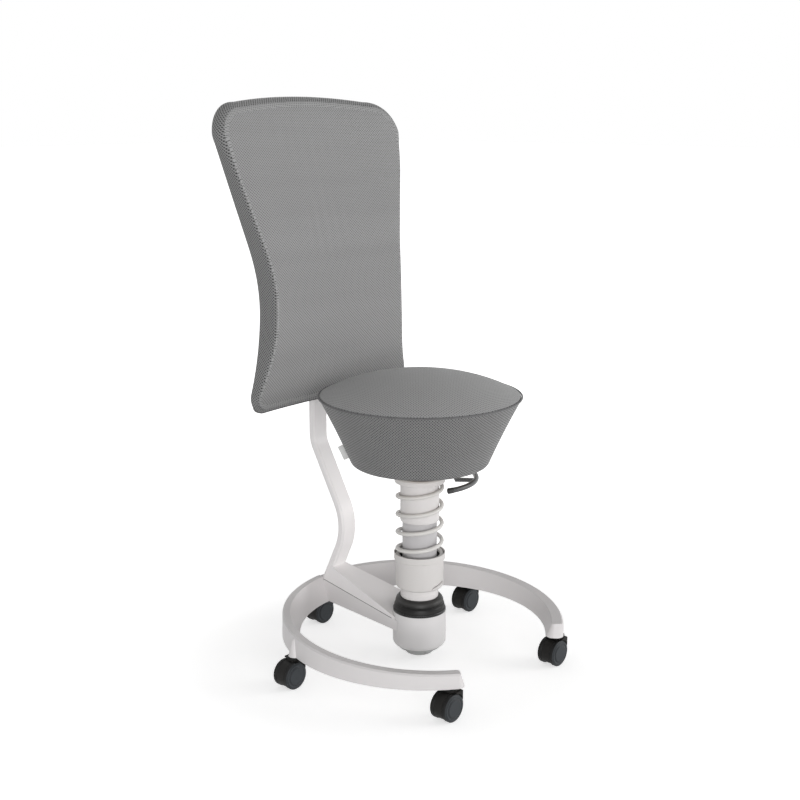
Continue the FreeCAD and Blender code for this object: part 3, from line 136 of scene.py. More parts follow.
def dress(finish, *nodes):
    """Give CAD pieces their finish."""
    for name in nodes:
        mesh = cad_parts[name].data
        mesh.materials.clear()
        mesh.materials.append(finish)


# The pot inside this reach of the column is painted a shade darker: painted shade.
POT_REACH = 0.0542
frame_coat = powder_coat("frame_coat", tint(221, 218, 218), 0.42, painted_shade_core=(POT_REACH, tint(217, 215, 215)))
dress(frame_coat, "base_frame")


# Leaning joint in the pot: a yoke on its floor, a cross with two pins, and a rubber ring that stops the lean.
# Yoke and cross are turned and milled steel, left bare and oiled; the ring is moulded.
def worked_steel(name, colour, rough, lines=(1.0, 1.0, 60.0)):
    """Bare steel with fine tool marks that run round the piece."""
    steel = Finish(name, colour, rough, Metallic=1.0)
    marks = steel.speckle(30.0, 4.0, lines)
    steel.shade("Base Color", steel.mottle(marks, 0.10))
    steel.shade("Roughness", steel.between(marks, rough - 0.08, rough + 0.12))
    steel.shade("Normal", steel.relief(marks, 0.00004))
    return steel.material


def moulded(name, colour, rough, grain, depth, spread=0.12, **sockets):
    """A moulded skin: spark-eroded grain of one size, with rubbed, shinier spots."""
    skin = Finish(name, colour, rough, **sockets)
    skin.shade("Base Color", skin.mottle(skin.speckle(35.0, 4.0), spread))
    skin.shade("Roughness", skin.between(skin.speckle(24.0, 3.0), rough - 0.09, rough + 0.09))
    softened = skin.node("Bevel", {"Radius": 0.0006}, samples=4)
    skin.shade("Normal", skin.relief(skin.speckle(grain, 1.5), depth, softened))
    return skin.material


joint_steel = worked_steel("joint_steel", tint(150, 151, 153), 0.34)
buffer_rubber = moulded("buffer_rubber", tint(38, 37, 36), 0.62, 900.0, 0.00008)
dress(joint_steel, "lower_yoke", "joint_cross")
dress(buffer_rubber, "tilt_buffer", "bump_stop")

# Lip ring: a black plastic ring pressed on the pot's rim, which the dome turns inside.
# It is turned smooth outside, so it takes a thin line of light.
lip_plastic = moulded("lip_plastic", tint(24, 24, 24), 0.30, 1400.0, 0.00003, Specular_IOR_Level=0.4)
dress(lip_plastic, "lip_ring")


# Dome: a rubber boot, part of a ball about the joint, with a groove and a full shoulder round the neck.
# It turns inside the lip ring as the stool leans; its skin is smooth, with painted highlights and a painted shaded
# groove.
def turned(name, profile, segments, finish, closed=True):
    """A piece turned about the column from (radius, height) points in millimetres."""
    points, faces = [], []
    for step in range(segments):
        angle = 2 * math.pi * step / segments
        points += [(r * math.cos(angle) / 1000, r * math.sin(angle) / 1000, z / 1000) for r, z in profile]
    count = len(profile)
    for step in range(segments):
        here, there = step * count, (step + 1) % segments * count
        for row in range(count if closed else count - 1):
            after = (row + 1) % count
            faces.append((here + row, there + row, there + after, here + after))
    return new_piece(name, points, faces, [finish])


def new_piece(name, points, faces, finishes):
    """A smooth mesh piece in the frame, in metres, with its finishes in slot order."""
    mesh = bpy.data.meshes.new(name)
    mesh.from_pydata(points, [], faces)
    for finish in finishes:
        mesh.materials.append(finish)
    mesh.polygons.foreach_set("use_smooth", [True] * len(mesh.polygons))
    piece = bpy.data.objects.new(name, mesh)
    bpy.context.scene.collection.objects.link(piece)
    return piece


def finer(piece, levels=1):
    soft = piece.modifiers.new("finer", "SUBSURF")
    soft.levels = soft.render_levels = levels
    return piece


def bow(centre, radius, start, end, count):
    """Points on an arc, angles in degrees."""
    angles = [math.radians(start + (end - start) * step / count) for step in range(count + 1)]
    return [(centre[0] + radius * math.cos(angle), centre[1] + radius * math.sin(angle)) for angle in angles]


DOME_MIDDLE, DOME_RADIUS = (0.0, 101.5), 51.8
dome_rubber = Finish("dome_rubber", tint(26, 25, 24), 0.42, Specular_IOR_Level=0.25)
# Colour by height: painted highlights on the lower bulge and on the shoulder, painted shade in the groove.
lift = dome_rubber.node("SeparateXYZ", {0: dome_rubber.place()}, out="Z")
painted_light_ramp = dome_rubber.node("ValToRGB", {0: dome_rubber.between(lift, 0.0, 1.0, 0.100, 0.132)})
bands = painted_light_ramp.node.color_ramp.elements
bands[0].color, bands[1].color = tint(16, 15, 14), tint(38, 36, 35)
for height, tone in ((0.25, 34), (0.42, 8), (0.60, 14), (0.78, 54)):
    bands.new(height).color = tint(tone, tone - 1, tone - 2)
dome_rubber.shade("Base Color", painted_light_ramp)
dome_rubber.shade("Normal", dome_rubber.relief(dome_rubber.speckle(1100.0, 1.5), 0.00004))
dome_skin = bow(DOME_MIDDLE, DOME_RADIUS, -16.2, 14.0, 16) + [
    (49.5, 115.4), (48.2, 116.1), (47.7, 116.9), (48.1, 117.6), (48.8, 118.3), (48.6, 119.5), (48.2, 121.6),
    (47.6, 124.0), (46.6, 126.3), (44.9, 128.5), (42.4, 130.1), (38.6, 130.85)]
dome_back = bow(DOME_MIDDLE, DOME_RADIUS - 3.9, 36.0, -17.0, 20)
dome = turned("dome_boot", dome_skin + dome_back, 128, dome_rubber.material)
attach(dome, "column_lower")
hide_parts("rubber_dome")

# Column foot and guide tube: the neck above the dome is cast and coated like the frame.
# The tube it carries is drawn steel, coated a shade darker, and the column slides on it.
neck_coat = powder_coat("neck_coat", tint(221, 218, 217), 0.40)
guide_coat = powder_coat("guide_coat", tint(188, 186, 187), 0.36)
dress(neck_coat, "column_foot")
dress(guide_coat, "guide_tube")

# Firmness wheel: a notched grey plastic knob under the pot, screwed to a stud that presses on the joint.
# Fingers turn it from below.
knob_plastic = moulded("knob_plastic", tint(168, 169, 168), 0.48, 1000.0, 0.00005)
dress(knob_plastic, "firmness_wheel")

# Spring cup: a turned collar with a rim, which holds the spring's lower end and turns on the tube.
# It is coated like the neck, its slanted slit shows dark, and a thin rubber ring lies under the spring.
# The cup's coat is painted a shade darker than the neck's coat: painted shade.
cup_coat_painted_shade = powder_coat("cup_coat_painted_shade", tint(211, 208, 206), 0.40)
dress(cup_coat_painted_shade, "spring_cup")
liner_rubber = moulded("liner_rubber", tint(30, 30, 30), 0.70, 1000.0, 0.00006)
LINER_INNER, LINER_OUTER, LINER_WALL, LINER_FOOT, LINER_FLOOR, LINER_RIM = 35.0, 49.2, 48.95, 212.05, 212.28, 219.0
liner_profile = [(LINER_INNER, LINER_FOOT), (LINER_OUTER, LINER_FOOT), (LINER_OUTER, LINER_RIM),
                 (LINER_WALL, LINER_RIM), (LINER_WALL, LINER_FLOOR), (LINER_INNER, LINER_FLOOR)]
liner = turned("spring_seat_ring", liner_profile, 96, liner_rubber)
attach(liner, "spring_collar")


# Coil spring: one round steel wire, wound open, with a flat turn in the cup and its upper end under the plate.
# It is coated light grey, and shortens as the seat bounces.
def tube_along(name, path, radius, sides, finish):
    """A round wire through points in millimetres, with eased ends."""
    points, faces = [], []
    side = None
    rows = [(0, 0.55)] + [(step, 1.0) for step in range(len(path))] + [(len(path) - 1, 0.55)]
    for number, (step, size) in enumerate(rows):
        before, after = path[max(step - 1, 0)], path[min(step + 1, len(path) - 1)]
        way = (after - before).normalized()
        side = (way.orthogonal() if side is None else side - way * side.dot(way)).normalized()
        other = way.cross(side)
        push = (-0.25 if number == 0 else 0.25 if number == len(rows) - 1 else 0.0) * radius
        for corner in range(sides):
            angle = 2 * math.pi * corner / sides
            spot = path[step] + way * push + (side * math.cos(angle) + other * math.sin(angle)) * radius * size
            points.append(spot / 1000)
    for row in range(len(rows) - 1):
        for corner in range(sides):
            beside = (corner + 1) % sides
            faces.append((row * sides + corner, row * sides + beside,
                          (row + 1) * sides + beside, (row + 1) * sides + corner))
    faces.append(tuple(range(sides))[::-1])
    faces.append(tuple(range((len(rows) - 1) * sides, len(rows) * sides)))
    return new_piece(name, points, faces, [finish])


WIRE, COIL_RADIUS, PITCH = 8.4, 44.4, 37.0
FACE_HEIGHT, FACE_ANGLE, RISE_TURNS, FLAT_TURNS = 237.0, 221.6, 0.75, 0.6
LEDGE, PLATE_FOOT, SEAT_GAP = 212.0, 369.0, 0.3
coil_foot = LEDGE + SEAT_GAP + WIRE / 2
coil_climb = WIRE * PITCH / (2 * math.pi * COIL_RADIUS)
first_turn = -RISE_TURNS - FLAT_TURNS
last_turn = (PLATE_FOOT - SEAT_GAP - WIRE / 2 - coil_climb - FACE_HEIGHT) / PITCH


def on_coil(turn):
    angle = 2 * math.pi * turn + math.radians(FACE_ANGLE)
    height = FACE_HEIGHT + turn * PITCH
    if turn < 0:
        height = coil_foot + (FACE_HEIGHT - coil_foot) * max(0.0, turn + RISE_TURNS) / RISE_TURNS
    return Vector((COIL_RADIUS * math.cos(angle), COIL_RADIUS * math.sin(angle), height))


COIL_STEPS = 420
coil_path = [on_coil(first_turn + (last_turn - first_turn) * step / COIL_STEPS)
             for step in range(COIL_STEPS + 1)]
coil_path.insert(0, coil_path[0] + (coil_path[0] - coil_path[1]).normalized() * WIRE * 0.9)
coil_path.append(coil_path[-1] + (coil_path[-1] - coil_path[-2]).normalized() * WIRE * 0.9)
coil_coat = powder_coat("coil_coat", tint(214, 212, 209), 0.36)
coil = tube_along("spring_coil", coil_path, WIRE / 2, 20, coil_coat)
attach(coil, "column_lower")
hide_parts("coil_spring")
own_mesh(coil)

# Upper column: the outer tube with the plate that the spring pushes on, both coated steel.
# Plastic bushes inside run on the guide tube and on the gas spring.
tube_coat = powder_coat("tube_coat", tint(216, 213, 212), 0.38)
bush_plastic = moulded("bush_plastic", tint(60, 61, 62), 0.50, 1200.0, 0.00003)
dress(tube_coat, "upper_tube", "spring_plate")
dress(bush_plastic, "guide_bush", "top_bush")

# Gas spring: a black lacquered cylinder, a ground rod, a thrust bearing under it and a carrier tube round it.
# The valve pin on top is what the lever presses.
cylinder_lacquer = moulded("cylinder_lacquer", tint(30, 30, 31), 0.30, 1500.0, 0.00002, Coat_Weight=0.3)
ground_steel = worked_steel("ground_steel", tint(196, 197, 199), 0.16, (1.0, 1.0, 120.0))
carrier_steel = worked_steel("carrier_steel", tint(165, 166, 167), 0.40)
dress(cylinder_lacquer, "gas_cylinder")
dress(ground_steel, "gas_rod", "thrust_bearing", "valve_pin")
dress(carrier_steel, "gas_carrier")

# Seat hub: a black coated pressing with a cone for the gas spring and a slot for the lever, screwed on the board.
# Pin and screws are zinc plated.
hub_coat = powder_coat("hub_coat", tint(48, 48, 49), 0.44)
zinc_plate = worked_steel("zinc_plate", tint(188, 190, 192), 0.30)
dress(hub_coat, "seat_hub")
dress(zinc_plate, "lever_pin", "hub_screws")

# Release lever: a cranked flat bar with a round grip that curls round under the seat, in dark satin paint.
# A rubber cap closes the grip's cut end.
lever_paint = powder_coat("lever_paint", tint(64, 64, 65), 0.32, 0.0005)
dress(lever_paint, "lever")
cap_rubber = moulded("cap_rubber", tint(30, 30, 30), 0.50, 1200.0, 0.00004)
GRIP_SWEEP, GRIP_HEIGHT, GRIP_RADIUS = 111.3, 378.0, 5.2
LEVER_ANGLE, GRIP_END, CAP_TURN = -51.0, -55.5, 5.2


def on_grip(angle):
    turn = math.radians(LEVER_ANGLE + angle)
    return Vector((GRIP_SWEEP * math.cos(turn), GRIP_SWEEP * math.sin(turn), GRIP_HEIGHT))


cap_path = [on_grip(GRIP_END - 2.7 + CAP_TURN * step / 10) for step in range(11)]
grip_cap = tube_along("grip_cap", cap_path, GRIP_RADIUS + 0.45, 24, cap_rubber)
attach(grip_cap, "release_lever")


# Seat board: a round plywood disc inside the cushion's foot, screwed to the hub.
# Its face is birch, cut across the grain at the rim.
def pressed_wood(name, colour):
    wood = Finish(name, colour, 0.62)
    grain = wood.speckle(26.0, 5.0, (1.0, 14.0, 14.0))
    wood.shade("Base Color", wood.mottle(grain, 0.22))
    wood.shade("Roughness", wood.between(grain, 0.55, 0.72))
    wood.shade("Normal", wood.relief(grain, 0.0001))
    return wood.material


dress(pressed_wood("board_wood", tint(178, 150, 112)), "seat_board")


# Seat cushion: moulded foam under an open spacer knit, a cone-shaped skirt and a domed top sewn with piping.
# The cover is drawn round the foam's foot and tucked against the board.
def open_knit(name, thread, hole, across, along, width, depth, second=1.0, drift=0.05, sheen=0.25, bands=None):
    """A spacer knit: two slanting sets of yarn with small dark gaps between them, sizes in millimetres."""
    knit = Finish(name, tint(*thread), 0.82, Sheen_Weight=sheen, Sheen_Roughness=0.45, Specular_IOR_Level=0.25)
    spot = knit.node("UVMap", uv_map="weave")
    split = knit.node("SeparateXYZ", {0: spot}, out="X")
    parts = split.node
    u = knit.calc("MULTIPLY", parts.outputs["X"], 1000.0 / across)
    v = knit.calc("MULTIPLY", parts.outputs["Y"], 1000.0 / along)
    yarns = []
    for lean in ("ADD", "SUBTRACT"):
        line = knit.calc("PINGPONG", knit.calc(lean, u, v), 0.5)
        yarns.append(knit.between(line, 1.0, 0.0, width * 0.5, width, "SMOOTHSTEP"))
    yarn = knit.calc("MAXIMUM", yarns[0], knit.calc("MULTIPLY", yarns[1], second))
    fuzz = knit.node("TexNoise", {"Vector": knit.place(), "Scale": 1100.0, "Detail": 2.0})
    # With bands given, the tone drifts in stretched bands, used as painted light and shade; otherwise it varies at
    # random.
    if bands:
        tone = knit.node("TexNoise", {"Vector": knit.node("Mapping", {"Vector": knit.place(), "Scale": bands}),
                                      "Scale": 1.0, "Detail": 2.0})
    else:
        tone = knit.speckle(14.0, 3.0)
    darker = [part * (1 - drift) for part in tint(*thread)[:3]] + [1.0]
    lighter = [part * (1 + drift) for part in tint(*thread)[:3]] + [1.0]
    lit = knit.node("Mix", {"Factor": tone, 6: darker, 7: lighter}, out=2, data_type="RGBA")
    mixed = knit.node("Mix", {"Factor": yarn, 6: tint(*hole), 7: lit}, out=2, data_type="RGBA")
    knit.shade("Base Color", mixed)
    knit.shade("Roughness", knit.between(fuzz, 0.72, 0.92))
    height = knit.calc("ADD", yarn, knit.calc("MULTIPLY", fuzz, 0.35))
    knit.shade("Normal", knit.relief(height, depth))
    return knit.material


def settle(piece, held, pressure, cap):
    """Blow a cover up a little as cloth over its filling, its sewn lines held, and keep the shape."""
    rest = [vertex.co.copy() for vertex in piece.data.vertices]
    sewn = piece.vertex_groups.new(name="sewn")
    sewn.add(held, 1.0, "REPLACE")
    cloth = piece.modifiers.new("cover", "CLOTH")
    cloth.settings.vertex_group_mass = "sewn"
    cloth.settings.use_pressure = True
    cloth.settings.uniform_pressure_force = pressure
    cloth.settings.effector_weights.gravity = 0.0
    cloth.settings.quality = 5
    for number in range(1, 21):
        bpy.context.scene.frame_set(number)
    blown = piece.evaluated_get(bpy.context.evaluated_depsgraph_get())
    moved = [vertex.co.copy() for vertex in blown.data.vertices]
    piece.modifiers.remove(cloth)
    piece.vertex_groups.remove(sewn)
    for vertex, start, end in zip(piece.data.vertices, rest, moved):
        shift = end - start
        vertex.co = start + shift * min(1.0, cap / max(shift.length, 1e-9))
    bpy.context.scene.frame_set(1)
    piece.data.update()


# The top's knit is painted lighter than the skirt's, a painted sheen; the hem's darker knit under the seat is
# painted shade.
seat_top_knit_painted_sheen = open_knit("seat_top_knit_painted_sheen", (168, 168, 168), (116, 116, 116), 6.0, 6.8, 0.34, 0.0003)
seat_skirt_knit = open_knit("seat_skirt_knit", (132, 132, 132), (56, 56, 56), 5.7, 6.8, 0.32, 0.0005)
hem_knit_painted_shade = open_knit("seat_hem_knit", (92, 92, 92), (56, 56, 56), 5.7, 6.8, 0.32, 0.0004)

HEM_INNER, HEM_HEIGHT, HEM_TURN, HEM_ROUND, HEM_FLAP, HEM_STAY = 126.3, 407.0, 127.1, 11.0, 20.0, 9.0
SKIRT_FOOT, SKIRT_RIM, RIM_HEIGHT, SKIRT_DRAW = (137.0, 413.2), (197.5, 541.5), 544.0, 1.6
CROWN, FULLNESS, RECESS_TOP, AROUND, SEAM_ANGLE = 588.5, 2.3, 429.3, 192, math.radians(131)
FACING = math.atan2(-1.6184, -1.8233)
skirt_lean = math.atan2(SKIRT_RIM[1] - SKIRT_FOOT[1], SKIRT_RIM[0] - SKIRT_FOOT[0])
skirt_rows = 22
skirt = []
for row in range(skirt_rows + 1):
    part = row / skirt_rows
    draw = SKIRT_DRAW * 4 * part * (1 - part)
    skirt.append((SKIRT_FOOT[0] + (SKIRT_RIM[0] - SKIRT_FOOT[0]) * part - draw * math.sin(skirt_lean),
                  SKIRT_FOOT[1] + (SKIRT_RIM[1] - SKIRT_FOOT[1]) * part + draw * math.cos(skirt_lean)))
hem = [(HEM_INNER - HEM_FLAP, RECESS_TOP), (HEM_INNER, RECESS_TOP), (HEM_INNER, HEM_HEIGHT + HEM_STAY),
       (HEM_INNER, HEM_HEIGHT)]
hem += bow((HEM_TURN, HEM_HEIGHT + HEM_ROUND), HEM_ROUND, -90, math.degrees(skirt_lean) - 90, 6)[:-1]
groove = [(196.4, 543.2), (195.4, RIM_HEIGHT), (196.6, 545.0)]
cover_rows = hem + skirt + groove
points = []
for r, z in cover_rows:
    for step in range(AROUND):
        angle = 2 * math.pi * step / AROUND
        points.append((r * math.cos(angle) / 1000, r * math.sin(angle) / 1000, z / 1000))
faces, cloth_of = [], []
for row in range(len(cover_rows) - 1):
    for step in range(AROUND):
        beside = (step + 1) % AROUND
        faces.append((row * AROUND + step, row * AROUND + beside, (row + 1) * AROUND + beside,
                      (row + 1) * AROUND + step))
        cloth_of.append(2 if row < len(hem) - 2 else 1)
faces.append(tuple(range(AROUND))[::-1])
cloth_of.append(2)

TOP_CELLS = AROUND // 4
top_edge = groove[-1]
top_rise = CROWN - top_edge[1]
top_start = len(points)
rim_start = (len(cover_rows) - 1) * AROUND
top_index = {}
for i in range(TOP_CELLS + 1):
    for j in range(TOP_CELLS + 1):
        a, b = 2 * i / TOP_CELLS - 1, 2 * j / TOP_CELLS - 1
        if abs(a) >= abs(b):
            reach, angle = a, (math.pi / 4) * (b / a if a else 0.0)
        else:
            reach, angle = b, math.pi / 2 - (math.pi / 4) * (a / b)
        if max(abs(a), abs(b)) > 1 - 1e-9:
            turn = (angle + (math.pi if reach < 0 else 0.0)) % (2 * math.pi)
            top_index[i, j] = rim_start + round(turn / (2 * math.pi) * AROUND) % AROUND
            continue
        r = reach * top_edge[0]
        height = CROWN - top_rise * abs(reach) ** FULLNESS
        top_index[i, j] = len(points)
        points.append((r * math.cos(angle) / 1000, r * math.sin(angle) / 1000, height / 1000))
for i in range(TOP_CELLS):
    for j in range(TOP_CELLS):
        faces.append((top_index[i, j], top_index[i + 1, j], top_index[i + 1, j + 1], top_index[i, j + 1]))
        cloth_of.append(0)

cushion = new_piece("seat_cover", points, faces, [seat_top_knit_painted_sheen, seat_skirt_knit, hem_knit_painted_shade])
cushion.data.polygons.foreach_set("material_index", cloth_of)
weave = cushion.data.uv_layers.new(name="weave")
cone_sine = math.cos(skirt_lean)
apex_height = SKIRT_FOOT[1] - SKIRT_FOOT[0] * math.tan(skirt_lean)
for polygon in cushion.data.polygons:
    centre = math.atan2(polygon.center.y, polygon.center.x)
    for loop in polygon.loop_indices:
        x, y, z = cushion.data.vertices[cushion.data.loops[loop].vertex_index].co
        if polygon.material_index == 0:
            across = y * math.cos(FACING) - x * math.sin(FACING)
            weave.data[loop].uv = (across, x * math.cos(FACING) + y * math.sin(FACING))
            continue
        angle = math.atan2(y, x)
        angle += 2 * math.pi * round((centre - angle) / (2 * math.pi))
        past = (centre - SEAM_ANGLE) % (2 * math.pi) + angle - centre
        unrolled = (past + SEAM_ANGLE - FACING - 2 * math.pi) * cone_sine
        slant = math.hypot(math.hypot(x, y), z - apex_height / 1000)
        weave.data[loop].uv = (slant * math.sin(unrolled), slant * math.cos(unrolled))

sewn_rows = list(range(len(hem) * AROUND)) + list(range((len(hem) + skirt_rows + 1) * AROUND, top_start))
settle(cushion, sewn_rows, 4.0, 0.004)
finer(cushion)
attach(cushion, "seat")
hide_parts("seat_cushion")

# Piping: a thin cord in a strip of the same cloth, sewn into the seam between skirt and top.
# It stands a little proud all round and reads as a dark line.
piping_cloth = moulded("piping_cloth", tint(98, 98, 99), 0.80, 1300.0, 0.0002, Sheen_Weight=0.2)
piping = turned("seat_piping_cord", bow((198.6, 543.4), 1.6, 0, 360, 14)[:-1], 256, piping_cloth)
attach(piping, "seat")
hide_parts("seat_piping")

# Tag: a narrow woven ribbon folded double and caught in the skirt's seam, left blank.
# It stands off the skirt near its foot.
tag_weave = Finish("tag_weave", tint(222, 222, 221), 0.7, Sheen_Weight=0.3)
tag_rib = tag_weave.node("TexWave", {"Vector": tag_weave.place(), "Scale": 1400.0, "Distortion": 0.6},
                         bands_direction="Z")
tag_weave.shade("Base Color", tag_weave.mottle(tag_rib, 0.08))
tag_weave.shade("Normal", tag_weave.relief(tag_rib, 0.00008))
TAG_FOOT, TAG_TALL, TAG_OUT, TAG_FOLD, TAG_SUNK = 416.0, 30.0, 12.4, 0.75, 0.4
tag_out = Vector((math.cos(SEAM_ANGLE), math.sin(SEAM_ANGLE), 0.0))
tag_side = Vector((-math.sin(SEAM_ANGLE), math.cos(SEAM_ANGLE), 0.0))
tag_up = Vector((0, 0, math.sin(skirt_lean))) + tag_out * math.cos(skirt_lean)
tag_off = tag_out * math.sin(skirt_lean) - Vector((0, 0, math.cos(skirt_lean)))
tag_reach = SKIRT_FOOT[0] + (TAG_FOOT - SKIRT_FOOT[1]) / math.tan(skirt_lean) - TAG_SUNK
tag_root = tag_out * tag_reach + Vector((0, 0, TAG_FOOT))
leaf = [(step / 8 * TAG_OUT, TAG_FOLD * (0.35 + 0.65 * math.sin(math.pi * step / 16))) for step in range(9)]
bend = [(TAG_OUT + TAG_FOLD * math.sin(turn), TAG_FOLD * math.cos(turn))
        for turn in (0.5, 1.0, 1.57, 2.14, 2.64)]
tag_line = leaf + bend + [(out, -thick) for out, thick in reversed(leaf)]
TAG_ROWS = 13
points = []
for row in range(TAG_ROWS + 1):
    rise = TAG_TALL * row / TAG_ROWS
    curl = 0.5 * math.sin(row * 0.55)
    for out, thick in tag_line:
        swing = curl * (out / TAG_OUT) ** 2
        points.append((tag_root + tag_up * rise + tag_off * out + tag_side * (thick + swing)) / 1000)
width = len(tag_line)
faces = [(row * width + k, row * width + k + 1, (row + 1) * width + k + 1, (row + 1) * width + k)
         for row in range(TAG_ROWS) for k in range(width - 1)]
tag = new_piece("seat_tag_ribbon", points, faces, [tag_weave.material])
finer(tag)
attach(tag, "seat")
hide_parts("seat_tag")

# Back post: a flat steel bar with bevelled edges, bent in an S, on a wedge foot screwed down on the arm's seam.
# It is coated like the frame; the screws come up through the arm, and a black strip in the seam is painted shade.
post_coat = powder_coat("post_coat", tint(234, 231, 231), 0.40)
dress(post_coat, "back_post")
dress(zinc_plate, "post_screws")
# A thin black strip along each side of the seam between arm and foot: painted shade in the crease.
SEAM_FRONT, SEAM_REAR = (12.0, 53.0, 85.2), (266.0, 21.0, 105.3)
SEAM_START, SEAM_END, SEAM_TALL, SEAM_PROUD = 30.0, 254.6, 1.1, 0.12
points, faces = [], []
for side in (-1, 1):
    base = len(points)
    for y in (SEAM_START, SEAM_END):
        share = (y - SEAM_FRONT[0]) / (SEAM_REAR[0] - SEAM_FRONT[0])
        half, height = [low + (high - low) * share for low, high in zip(SEAM_FRONT[1:], SEAM_REAR[1:])]
        for out, rise in ((-1.0, -0.5), (SEAM_PROUD, -0.5), (SEAM_PROUD, 0.5), (-1.0, 0.5)):
            points.append((side * (half + out) / 1000, y / 1000, (height + rise * SEAM_TALL) / 1000))
    faces += [(base, base + 1, base + 2, base + 3), (base + 7, base + 6, base + 5, base + 4)]
    faces += [(base + k, base + 4 + k, base + 4 + (k + 1) % 4, base + (k + 1) % 4) for k in range(4)]
painted_seam_shade = new_piece("post_seam_strip", points, faces, [lip_plastic])
painted_seam_shade.data.polygons.foreach_set("use_smooth", [False] * len(faces))
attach(painted_seam_shade, "base")

# Back shell: a moulded plate behind the pad, screwed to the post's top with four screws.
# Its skin has a fine grain.
shell_plastic = moulded("shell_plastic", tint(58, 58, 59), 0.55, 700.0, 0.00012)
dress(shell_plastic, "back_shell")
dress(zinc_plate, "back_screws")


# Back pad: foam over the shell in a knit sleeve, hourglass-shaped, bowed round the sitter, full at the lumbar.
# The front is closed knit, the edge all round is open knit, and the fold between them has a painted highlight of
# finer loops.
def arc_through(first, middle, last, count):
    """Points on the circle through three (x, z) points."""
    (ax, az), (bx, bz), (cx, cz) = first, middle, last
    d = 2 * (ax * (bz - cz) + bx * (cz - az) + cx * (az - bz))
    sa, sb, sc = ax * ax + az * az, bx * bx + bz * bz, cx * cx + cz * cz
    ox = (sa * (bz - cz) + sb * (cz - az) + sc * (az - bz)) / d
    oz = (sa * (cx - bx) + sb * (ax - cx) + sc * (bx - ax)) / d
    start, mid, end = [math.atan2(z - oz, x - ox) for x, z in (first, middle, last)]
    turn = (end - start) % (2 * math.pi)
    if (mid - start) % (2 * math.pi) > turn:
        turn -= 2 * math.pi
    radius = math.hypot(ax - ox, az - oz)
    return [(ox + radius * math.cos(start + turn * k / count), oz + radius * math.sin(start + turn * k / count))
            for k in range(count + 1)]


def even(path, count):
    """The same path in equal steps."""
    lengths = [0.0]
    for (x0, z0), (x1, z1) in zip(path, path[1:]):
        lengths.append(lengths[-1] + math.hypot(x1 - x0, z1 - z0))
    spots, k = [], 0
    for step in range(count + 1):
        reach = lengths[-1] * step / count
        while k < len(path) - 2 and lengths[k + 1] < reach:
            k += 1
        share = (reach - lengths[k]) / (lengths[k + 1] - lengths[k])
        spots.append(tuple(p + (q - p) * share for p, q in zip(path[k], path[k + 1])))
    return spots


FOOT, WAIST, HIP, SHOULDER = (214.5, 537.0), (181.0, 715.0), (193.9, 825.4), (249.0, 1038.0)
TOP_END, TOP_MID, TOP_CROWN = (179.0, 1100.2), (228.7, 1082.0), (0.0, 1111.0)
LOW_END, LOW_MID, BACK_FOOT = (183.9, 497.0), (206.7, 509.5), 497.0
foot_arc = arc_through(LOW_END, LOW_MID, FOOT, 24)
top_arc = arc_through(SHOULDER, TOP_MID, TOP_END, 40)
crown_arc = arc_through(TOP_END, TOP_CROWN, (-TOP_END[0], TOP_END[1]), 60)
BACK_ACROSS, BACK_UP = 60, 92
half_low = even([(0.0, BACK_FOOT)] + foot_arc[:13], BACK_ACROSS // 2)
flank = even(foot_arc[12:] + arc_through(FOOT, WAIST, HIP, 40) + [SHOULDER] + top_arc[:21], BACK_UP)
half_top = even(top_arc[20:] + crown_arc[:31], BACK_ACROSS // 2)
half_rim = half_low[:-1] + flank[:-1] + half_top
rim = half_rim + [(-x, z) for x, z in reversed(half_rim[1:-1])]
RIM = len(rim)
inward = []
for k in range(RIM):
    (x0, z0), (x1, z1) = rim[k - 1], rim[(k + 1) % RIM]
    length = math.hypot(x1 - x0, z1 - z0)
    inward.append((-(z1 - z0) / length, (x1 - x0) / length))


def bent(run, radius):
    """Depth over height for two straight runs with a rounded corner."""
    (y0, z0), (y1, z1), (y2, z2) = run
    low, high = math.atan2(y1 - y0, z1 - z0), math.atan2(y2 - y1, z2 - z1)
    reach = radius * math.tan(abs(high - low) / 2)
    side = 1.0 if high > low else -1.0
    start = (y1 - reach * math.sin(low), z1 - reach * math.cos(low))
    middle = (start[0] + side * radius * math.cos(low), start[1] - side * radius * math.sin(low))

    def depth(z):
        if z <= start[1]:
            return y0 + (z - z0) * math.tan(low)
        if z >= z1 + reach * math.cos(high):
            return y1 + (z - z1) * math.tan(high)
        return middle[0] - side * math.sqrt(radius ** 2 - (z - middle[1]) ** 2)
    return depth


front_at = bent([(260.0, 487.0), (209.3, 709.4), (320.0, 1121.0)], 431.0)
rear_at = bent([(276.0, 487.0), (276.0, 745.0), (349.0, 1121.0)], 600.0)
BOW_RADIUS, EDGE_ROUND, TOP_ROUND, SHELL_INSET, SHELL_DEEP = 1300.0, 8.0, 20.0, 15.7, 9.3


def bowed(x):
    return -x * x / (2 * BOW_RADIUS)


def front_round(z):
    """The front edge is rounded small on the flanks and large over the top and under the foot."""
    share = min(1.0, max(0.0, (z - 950.0) / 110.0, (545.0 - z) / 45.0))
    return EDGE_ROUND + (TOP_ROUND - EDGE_ROUND) * share * share * (3 - 2 * share)


def rim_ring(turn=None, share=None, from_rear=None, inset=0.0):
    """One loop of the pad's edge: on the front round, on the side, or at a depth from the rear face."""
    ring = []
    for (x, z), (nx, nz) in zip(rim, inward):
        soft = front_round(z)
        inner = inset if turn is None else soft * (1 - math.sin(turn))
        x, z = x + nx * inner, z + nz * inner
        front, rear = front_at(z), rear_at(z)
        if turn is not None:
            y = front + soft * (1 - math.cos(turn))
        elif share is not None:
            y = front + soft + (rear - front - soft - EDGE_ROUND) * share
        else:
            y = rear - from_rear
        ring.append((x, y + bowed(x), z))
    return ring


